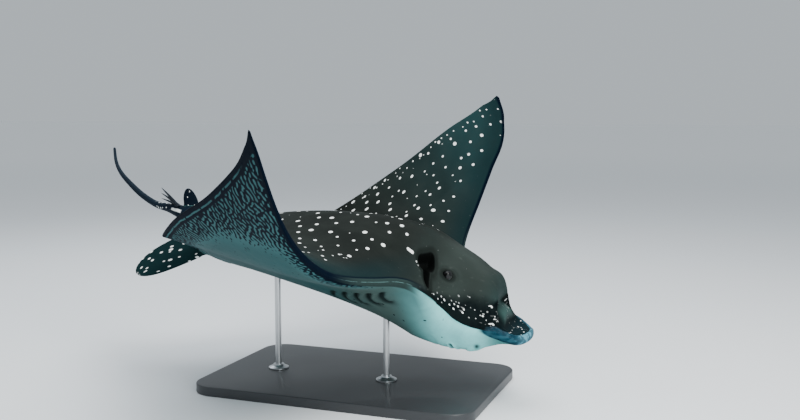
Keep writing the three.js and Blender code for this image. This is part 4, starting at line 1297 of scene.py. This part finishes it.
def barb_tree(mark):
    """Barbs along a spine's edge lines, as a node tree with named sizes."""
    tree = bpy.data.node_groups.new("spine barbs", "GeometryNodeTree")
    sockets = {}
    for name, way, kind in (("Geometry", "INPUT", "Geometry"), ("Count", "INPUT", "Int"),
                            ("Barb size", "INPUT", "Float"), ("Geometry", "OUTPUT", "Geometry")):
        sockets[name] = tree.interface.new_socket(name, in_out=way,
                                                  socket_type=f"NodeSocket{kind}").identifier
    made = {}
    for name, kind, settings, values in (
            ("in", "NodeGroupInput", {}, {}),
            ("out", "NodeGroupOutput", {}, {}),
            ("curve", "GeometryNodeMeshToCurve", {}, {}),
            ("points", "GeometryNodeCurveToPoints", {"mode": "COUNT"}, {}),
            ("cone", "GeometryNodeMeshCone", {"fill_type": "NGON"},
             {"Vertices": 6, "Radius Top": 0.0, "Radius Bottom": 0.3, "Depth": 1.0}),
            ("tilt", "FunctionNodeRotateRotation", {"rotation_space": "LOCAL"},
             {"Rotate By": (0.0, BARB_LEAN, 0.0)}),
            ("index", "GeometryNodeInputIndex", {}, {}),
            ("less", "ShaderNodeMapRange", {}, {"To Min": 1.0, "To Max": 0.35}),
            ("scale", "ShaderNodeMath", {"operation": "MULTIPLY"}, {}),
            ("lay", "GeometryNodeInstanceOnPoints", {}, {}),
            ("real", "GeometryNodeRealizeInstances", {}, {}),
            ("mark", "GeometryNodeSetMaterial", {}, {"Material": mark})):
        made[name] = tree.nodes.new(kind)
        for key, value in settings.items():
            setattr(made[name], key, value)
        for key, value in values.items():
            made[name].inputs[key].default_value = value
    for source, output, target, socket in (
            ("in", 0, "curve", "Mesh"), ("curve", 0, "points", "Curve"),
            ("in", 1, "points", "Count"), ("index", 0, "less", "Value"),
            ("in", 1, "less", "From Max"), ("less", 0, "scale", 0), ("in", 2, "scale", 1),
            ("points", "Points", "lay", "Points"), ("cone", 0, "lay", "Instance"),
            ("points", "Rotation", "tilt", "Rotation"), ("tilt", 0, "lay", "Rotation"),
            ("scale", 0, "lay", "Scale"), ("lay", 0, "real", 0), ("real", 0, "mark", 0),
            ("mark", 0, "out", 0)):
        tree.links.new(made[source].outputs[output], made[target].inputs[socket])
    return tree, sockets["Count"], sockets["Barb size"]


def barbs_along(edge, tree, sizes):
    """A mesh of barbs along a line of points; sizes gives the tree's inputs."""
    guide = new_object("guide", mesh_of("guide", edge, [], zip(range(len(edge) - 1),
                                                               range(1, len(edge)))))
    nodes = guide.modifiers.new("Barbs", "NODES")
    nodes.node_group = tree
    for key, value in sizes.items():
        nodes[key] = value
    bpy.context.view_layer.update()
    barbs = plain_mesh(guide, "barbs")
    drop(guide)
    return barbs


def spine_mesh(number, tip, tree, sizes):
    """A tapered spine with a ridge along its back and barbs down both edges."""
    root = (SPINE_ROOT[0], SPINE_ROOT[1] + SPINE_SPACING * (number - 2), SPINE_ROOT[2])
    start, end = placed([root, tip])
    f = np.linspace(0, 1, SPINE_STEPS)
    line = start + (end - start) * f[:, None] + SPINE_BOW * np.sin(np.pi * f)[:, None] * BODY_UP
    radii = SPINE_RADIUS * (1 - f) ** 0.7 + SPINE_POINT
    radii[-1] = SPINE_POINT / 5
    points, faces, above, _ = tube(line, radii, SPINE_SIDES, SPINE_SQUASH)
    middle = np.vstack([np.repeat(line, SPINE_SIDES, axis=0), line[:1], line[-1:]])
    ridge = 1 - SPINE_RIDGE * np.maximum(above, 0)[:, None] ** 8
    mesh = faced_out(mesh_of(f"spine_{number}", middle + (points - middle) * ridge, faces))
    side = np.cross(unit(end - start), BODY_UP)
    with edited(mesh) as bm:
        for sign in (-1, 1):
            edge = (line + sign * side * (radii * 0.8)[:, None])[BARBED]
            barbs = barbs_along(edge, tree, sizes)
            bm.from_mesh(barbs)
            bpy.data.meshes.remove(barbs)
    return mesh


def horn_look(p):
    look = Look("dark horn")
    grain = look.noise(look.place(), 420.0, 4.0, 0.6)
    patch = look.noise(look.place(), 60.0, 3.0, 0.5)
    worn, stained = (0.02, 0.026, 0.03), (0.006, 0.008, 0.012)
    look.set(Base_Color=look.mix(p.spine, (grain.step(0.45, 0.75) * 0.4, worn),
                                 (patch * 0.5, stained)),
             Roughness=0.42 + 0.3 * grain, Specular_IOR_Level=0.08,
             Normal=look.bump(grain, 0.0003, 0.6))
    return look.material


class RAY_OT_spines(bpy.types.Operator):
    """Builds the barbed spines at the root of the tail"""

    bl_idname = "eagle_ray.spines"
    bl_label = "Tail spines"

    def execute(self, context):
        settings = context.scene.ray_parts
        horn = horn_look(settings)
        tree, count_id, size_id = barb_tree(horn)
        sizes = {count_id: settings.barbs, size_id: BARB_LENGTH}
        for number, tip in enumerate(SPINE_TIPS, 1):
            mesh = spine_mesh(number, tip, tree, sizes)
            mesh.materials.append(horn)
            shade_smooth(mesh, math.radians(40))
            spine = new_object(f"tail_spine_{number}_horn", mesh)
            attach(spine, "root")
            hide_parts(f"tail_spine_{number}")
        return {"FINISHED"}


# ---- Stand --------------------
BOARD_CORNER, BOARD_SOFT, CORNER_STEPS = 0.06, 0.003, 13


def lathe(name, section, sides, centre):
    """A turned piece from (radius, height) points round an upright axis."""
    angles = np.linspace(0, 2 * np.pi, sides, endpoint=False)
    section = np.asarray(section, float)
    radius, height = section[:, :1], section[:, 1:]
    ring = np.stack([radius * np.cos(angles), radius * np.sin(angles),
                     np.repeat(height, sides, axis=1)], -1) + centre
    hollow = section[0, 0] > 1e-9
    mesh = mesh_of(name, ring.reshape(-1, 3), ring_faces(len(section), sides, hollow))
    with edited(mesh) as bm:
        bmesh.ops.remove_doubles(bm, verts=bm.verts, dist=1e-6)
        bmesh.ops.dissolve_degenerate(bm, edges=bm.edges, dist=1e-7)
        bmesh.ops.recalc_face_normals(bm, faces=bm.faces)
    shade_smooth(mesh, math.radians(35))
    return new_object(name, mesh)


def steel_look(p):
    look = Look("brushed steel")
    grain = look.noise(look.stretch(look.place(), (1, 1, 0.02)), 2400.0, 3.0, 0.6)
    smudge = look.noise(look.place(), 24.0, 3.0, 0.5)
    look.set(Base_Color=look.mix(p.steel, (grain * 0.35, (0.42, 0.43, 0.44))), Metallic=1.0,
             Roughness=0.24 + 0.14 * grain + 0.08 * smudge,
             Normal=look.bump(grain, 0.0001, 0.3))
    return look.material


def paint_look(p):
    look = Look("satin charcoal paint")
    orange_peel = look.noise(look.place(), 330.0, 2.0, 0.5)
    cloud = look.noise(look.place(), 5.0, 3.0, 0.5)
    dust = look.noise(look.place(), 1500.0, 2.0, 0.5).step(0.66, 0.8)
    look.set(Base_Color=look.mix(p.paint, (cloud * 0.35, (0.036, 0.038, 0.041)),
                                 (dust * 0.25, (0.11, 0.11, 0.11))),
             Roughness=0.4 + 0.12 * cloud + 0.1 * dust, Coat_Weight=0.1,
             Normal=look.bump(orange_peel, 0.0003, 0.35))
    return look.material


def board_object():
    """The base board, with softly rounded corners and edges."""
    low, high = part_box("stand_base")
    half, centre = (high - low) / 2, (high + low) / 2
    levels = []
    for face, way in ((low.z, 1), (high.z, -1)):
        for a in np.linspace(0, math.pi / 2, 5):
            rise, inset = 1 - math.cos(a), 1 - math.sin(a)
            if way < 0:
                rise, inset = inset, rise
            levels.append((face + way * BOARD_SOFT * rise, BOARD_SOFT * inset))
    points = []
    for height, inset in levels:
        for turn, (sx, sy) in enumerate(((1, 1), (-1, 1), (-1, -1), (1, -1))):
            for a in np.linspace(0, math.pi / 2, CORNER_STEPS) + turn * math.pi / 2:
                radius = BOARD_CORNER - inset
                points.append((centre.x + sx * (half.x - BOARD_CORNER) + radius * math.cos(a),
                               centre.y + sy * (half.y - BOARD_CORNER) + radius * math.sin(a),
                               height))
    round_trip = 4 * CORNER_STEPS
    faces = ring_faces(len(levels), round_trip)
    faces += [range(round_trip)[::-1], range(len(points) - round_trip, len(points))]
    mesh = faced_out(mesh_of("stand_board", points, faces))
    shade_smooth(mesh, math.radians(40))
    return new_object("stand_board", mesh)


def rod_section(r, low, high):
    """A rod's half section, with a small chamfer at each end."""
    return [(0, low), (r - 0.0008, low), (r, low + 0.0008), (r, high - 0.001),
            (r - 0.001, high), (0, high)]


def collar_section(r, wide, low, high):
    """A flared collar's half section round a rod."""
    inner, rise = r + 0.0003, high - low
    foot, neck = wide - 0.001, inner + 0.0055
    flare = [(foot - (foot - neck) * smooth(k / 10), low + rise * (0.34 + 0.6 * (k / 10) ** 1.6))
             for k in range(11)]
    return [(inner, low), (wide - 0.0006, low), (wide, low + 0.0006), (wide, low + rise * 0.3),
            *flare, (inner + 0.005, high), (inner, high)]


class RAY_OT_stand(bpy.types.Operator):
    """Builds the base board, the rods and their collars"""

    bl_idname = "eagle_ray.stand"
    bl_label = "Stand"

    def execute(self, context):
        settings = context.scene.ray_stand
        steel, paint = steel_look(settings), paint_look(settings)
        board = board_object()
        board.data.materials.append(paint)
        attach(board, "root")
        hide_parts("stand_base")
        for end in ("front", "rear"):
            low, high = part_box(f"stand_rod_{end}")
            r, centre = settings.rod_radius, ((low.x + high.x) / 2, (low.y + high.y) / 2, 0)
            rod = lathe(f"stand_rod_{end}_steel", rod_section(r, low.z, high.z), 48, centre)
            low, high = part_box(f"stand_collar_{end}")
            wide = (high.x - low.x) / 2
            collar = lathe(f"stand_collar_{end}_steel",
                           collar_section(r, wide, low.z, high.z), 64, centre)
            for piece, node in ((rod, f"stand_rod_{end}"), (collar, f"stand_collar_{end}")):
                piece.data.materials.append(steel)
                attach(piece, "root")
                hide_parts(node)
        return {"FINISHED"}


# ---- Stage --------------------
# The camera's yaw, tilt and roll against the bent body, its shift and its distance.
CAMERA_YAW, CAMERA_TILT, CAMERA_ROLL = 0.336, -0.058, 0.197
CAMERA_OFFSET = (-0.088, -0.084, 1.431)
AIM_FORWARD, AIM_HEIGHT, FLOOR_HALF = 0.1, 0.45, 40
# Lights: place [ahead, right, up] from the aim in metres, size, share of the key's power, tint.
LIGHTS = {
    "key": ((-1.6, 1.5, 2.3), 1.6, 1.0, (1.0, 0.98, 0.95)),
    "top": ((0.3, 0.0, 3.0), 3.2, 0.9, (0.95, 0.98, 1.0)),
    "rim": ((2.2, -1.2, 1.9), 1.4, 0.16, (0.85, 0.93, 1.0)),
    "low": ((-1.9, 0.9, 0.35), 1.0, 0.2, (0.9, 0.98, 1.0)),
}
WORLD_COLOUR, WORLD_STRENGTH = (0.78, 0.86, 0.92, 1), 0.66


def camera_axes():
    """Right, up and forward of the camera on the bent body."""
    yaw, tilt = CAMERA_YAW, CAMERA_TILT
    ahead = np.array([-math.sin(yaw) * math.cos(tilt), math.cos(yaw) * math.cos(tilt),
                      -math.sin(tilt)])
    right = unit(np.cross(ahead, (0, 0, 1.0)))
    up = np.cross(right, ahead)
    c, s = math.cos(CAMERA_ROLL), math.sin(CAMERA_ROLL)
    return np.array([c * right + s * up, -s * right + c * up, ahead])


def floor_object(colour, middle):
    """A plain floor, painted paler with distance as painted light where the lamps' light falls
    off, so that no horizon shows.
    """
    sides = ((-1, -1), (1, -1), (1, 1), (-1, 1))
    corners = [(middle.x + x * FLOOR_HALF, middle.y + y * FLOOR_HALF, 0) for x, y in sides]
    look = Look("pale floor")
    east, north, _ = look.split(look.place())
    # Painted light: the floor pales with distance to make up for the lamps' light falling off.
    painted_distance_light = ((east * east + north * north) ** 0.5).step(2.5, 14.0)
    soft = look.noise(look.place(), 1.5, 2.0, 0.5)
    look.set(Base_Color=look.mix(colour, (soft * 0.1, (0.76, 0.78, 0.8)),
                                 (painted_distance_light, (0.985, 0.99, 0.995))),
             Roughness=0.75, Specular_IOR_Level=0.2)
    floor = new_object("floor", mesh_of("floor", corners, [(0, 1, 2, 3)]))
    floor.data.materials.append(look.material)
    return floor


class RAY_OT_stage(bpy.types.Operator):
    """Makes the floor, the lights and the camera"""

    bl_idname = "eagle_ray.stage"
    bl_label = "Stage"

    def execute(self, context):
        scene, settings = context.scene, context.scene.ray_stage
        low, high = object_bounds()
        middle = (low + high) / 2
        floor = floor_object(settings.floor, middle)
        floor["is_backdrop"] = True

        world = scene.world = bpy.data.worlds.new("studio")
        world.use_nodes = True
        sky = world.node_tree.nodes["Background"].inputs
        sky["Color"].default_value, sky["Strength"].default_value = WORLD_COLOUR, WORLD_STRENGTH

        axes = camera_axes()
        eye = to_world(np.array([-SAG_MIDDLE, 0, 0]) - np.array(CAMERA_OFFSET) @ axes)
        right, up, ahead = axes @ TURN.T
        lens = bpy.data.cameras.new("camera")
        lens.lens, lens.sensor_width = settings.lens, 36
        lens.clip_start, lens.clip_end = 0.05, 200
        scene.camera = new_object("camera", lens)
        scene.camera.matrix_world = Matrix.Translation(eye) @ Matrix(
            np.stack([right, up, -ahead], -1).tolist()).to_4x4()

        aim = Vector((middle.x + AIM_FORWARD, middle.y, AIM_HEIGHT))
        level = [Vector((way[0], way[1], 0)).normalized() for way in (ahead, right)]
        for name, (place, size, share, tint) in LIGHTS.items():
            lamp = bpy.data.lights.new(name, "AREA")
            lamp.shape, lamp.size, lamp.color = "DISK", size, tint
            lamp.energy = settings.key * share
            holder = new_object(name, lamp)
            holder.location = (aim + level[0] * place[0] + level[1] * place[1]
                               + Vector((0, 0, place[2])))
            holder.rotation_mode = "QUATERNION"
            holder.rotation_quaternion = (aim - holder.location).to_track_quat("-Z", "Y")
        return {"FINISHED"}


# ---- Panel and registration --------------------


class RAY_PT_panel(bpy.types.Panel):
    """Sidebar panel with every step and its settings"""

    bl_label = "Spotted Eagle Ray"
    bl_idname = "RAY_PT_panel"
    bl_space_type = "VIEW_3D"
    bl_region_type = "UI"
    bl_category = "Eagle Ray"

    def draw(self, context):
        for name, (_, steps) in GROUPS.items():
            box = self.layout.box()
            settings = getattr(context.scene, name)
            for key in settings.bl_rna.properties.keys():
                if key not in ("rna_type", "name"):
                    box.prop(settings, key)
            for step in steps:
                box.operator(step.bl_idname)


GROUPS = {
    "ray_skin": (RaySkinSettings, (RAY_OT_skin,)),
    "ray_parts": (RayPartSettings, (RAY_OT_eyes, RAY_OT_spines)),
    "ray_stand": (RayStandSettings, (RAY_OT_stand,)),
    "ray_stage": (RayStageSettings, (RAY_OT_stage,)),
}
CLASSES = [made for group, steps in GROUPS.values() for made in (group, *steps)] + [RAY_PT_panel]


def register():
    for made in CLASSES:
        bpy.utils.register_class(made)
    for name, (group, _) in GROUPS.items():
        setattr(bpy.types.Scene, name, PointerProperty(type=group))


def unregister():
    for name in GROUPS:
        delattr(bpy.types.Scene, name)
    for made in reversed(CLASSES):
        bpy.utils.unregister_class(made)


def main():
    register()
    bpy.ops.eagle_ray.skin()
    bpy.ops.eagle_ray.eyes()
    bpy.ops.eagle_ray.spines()
    bpy.ops.eagle_ray.stand()
    bpy.ops.eagle_ray.stage()


if __name__ == "__main__":
    main()
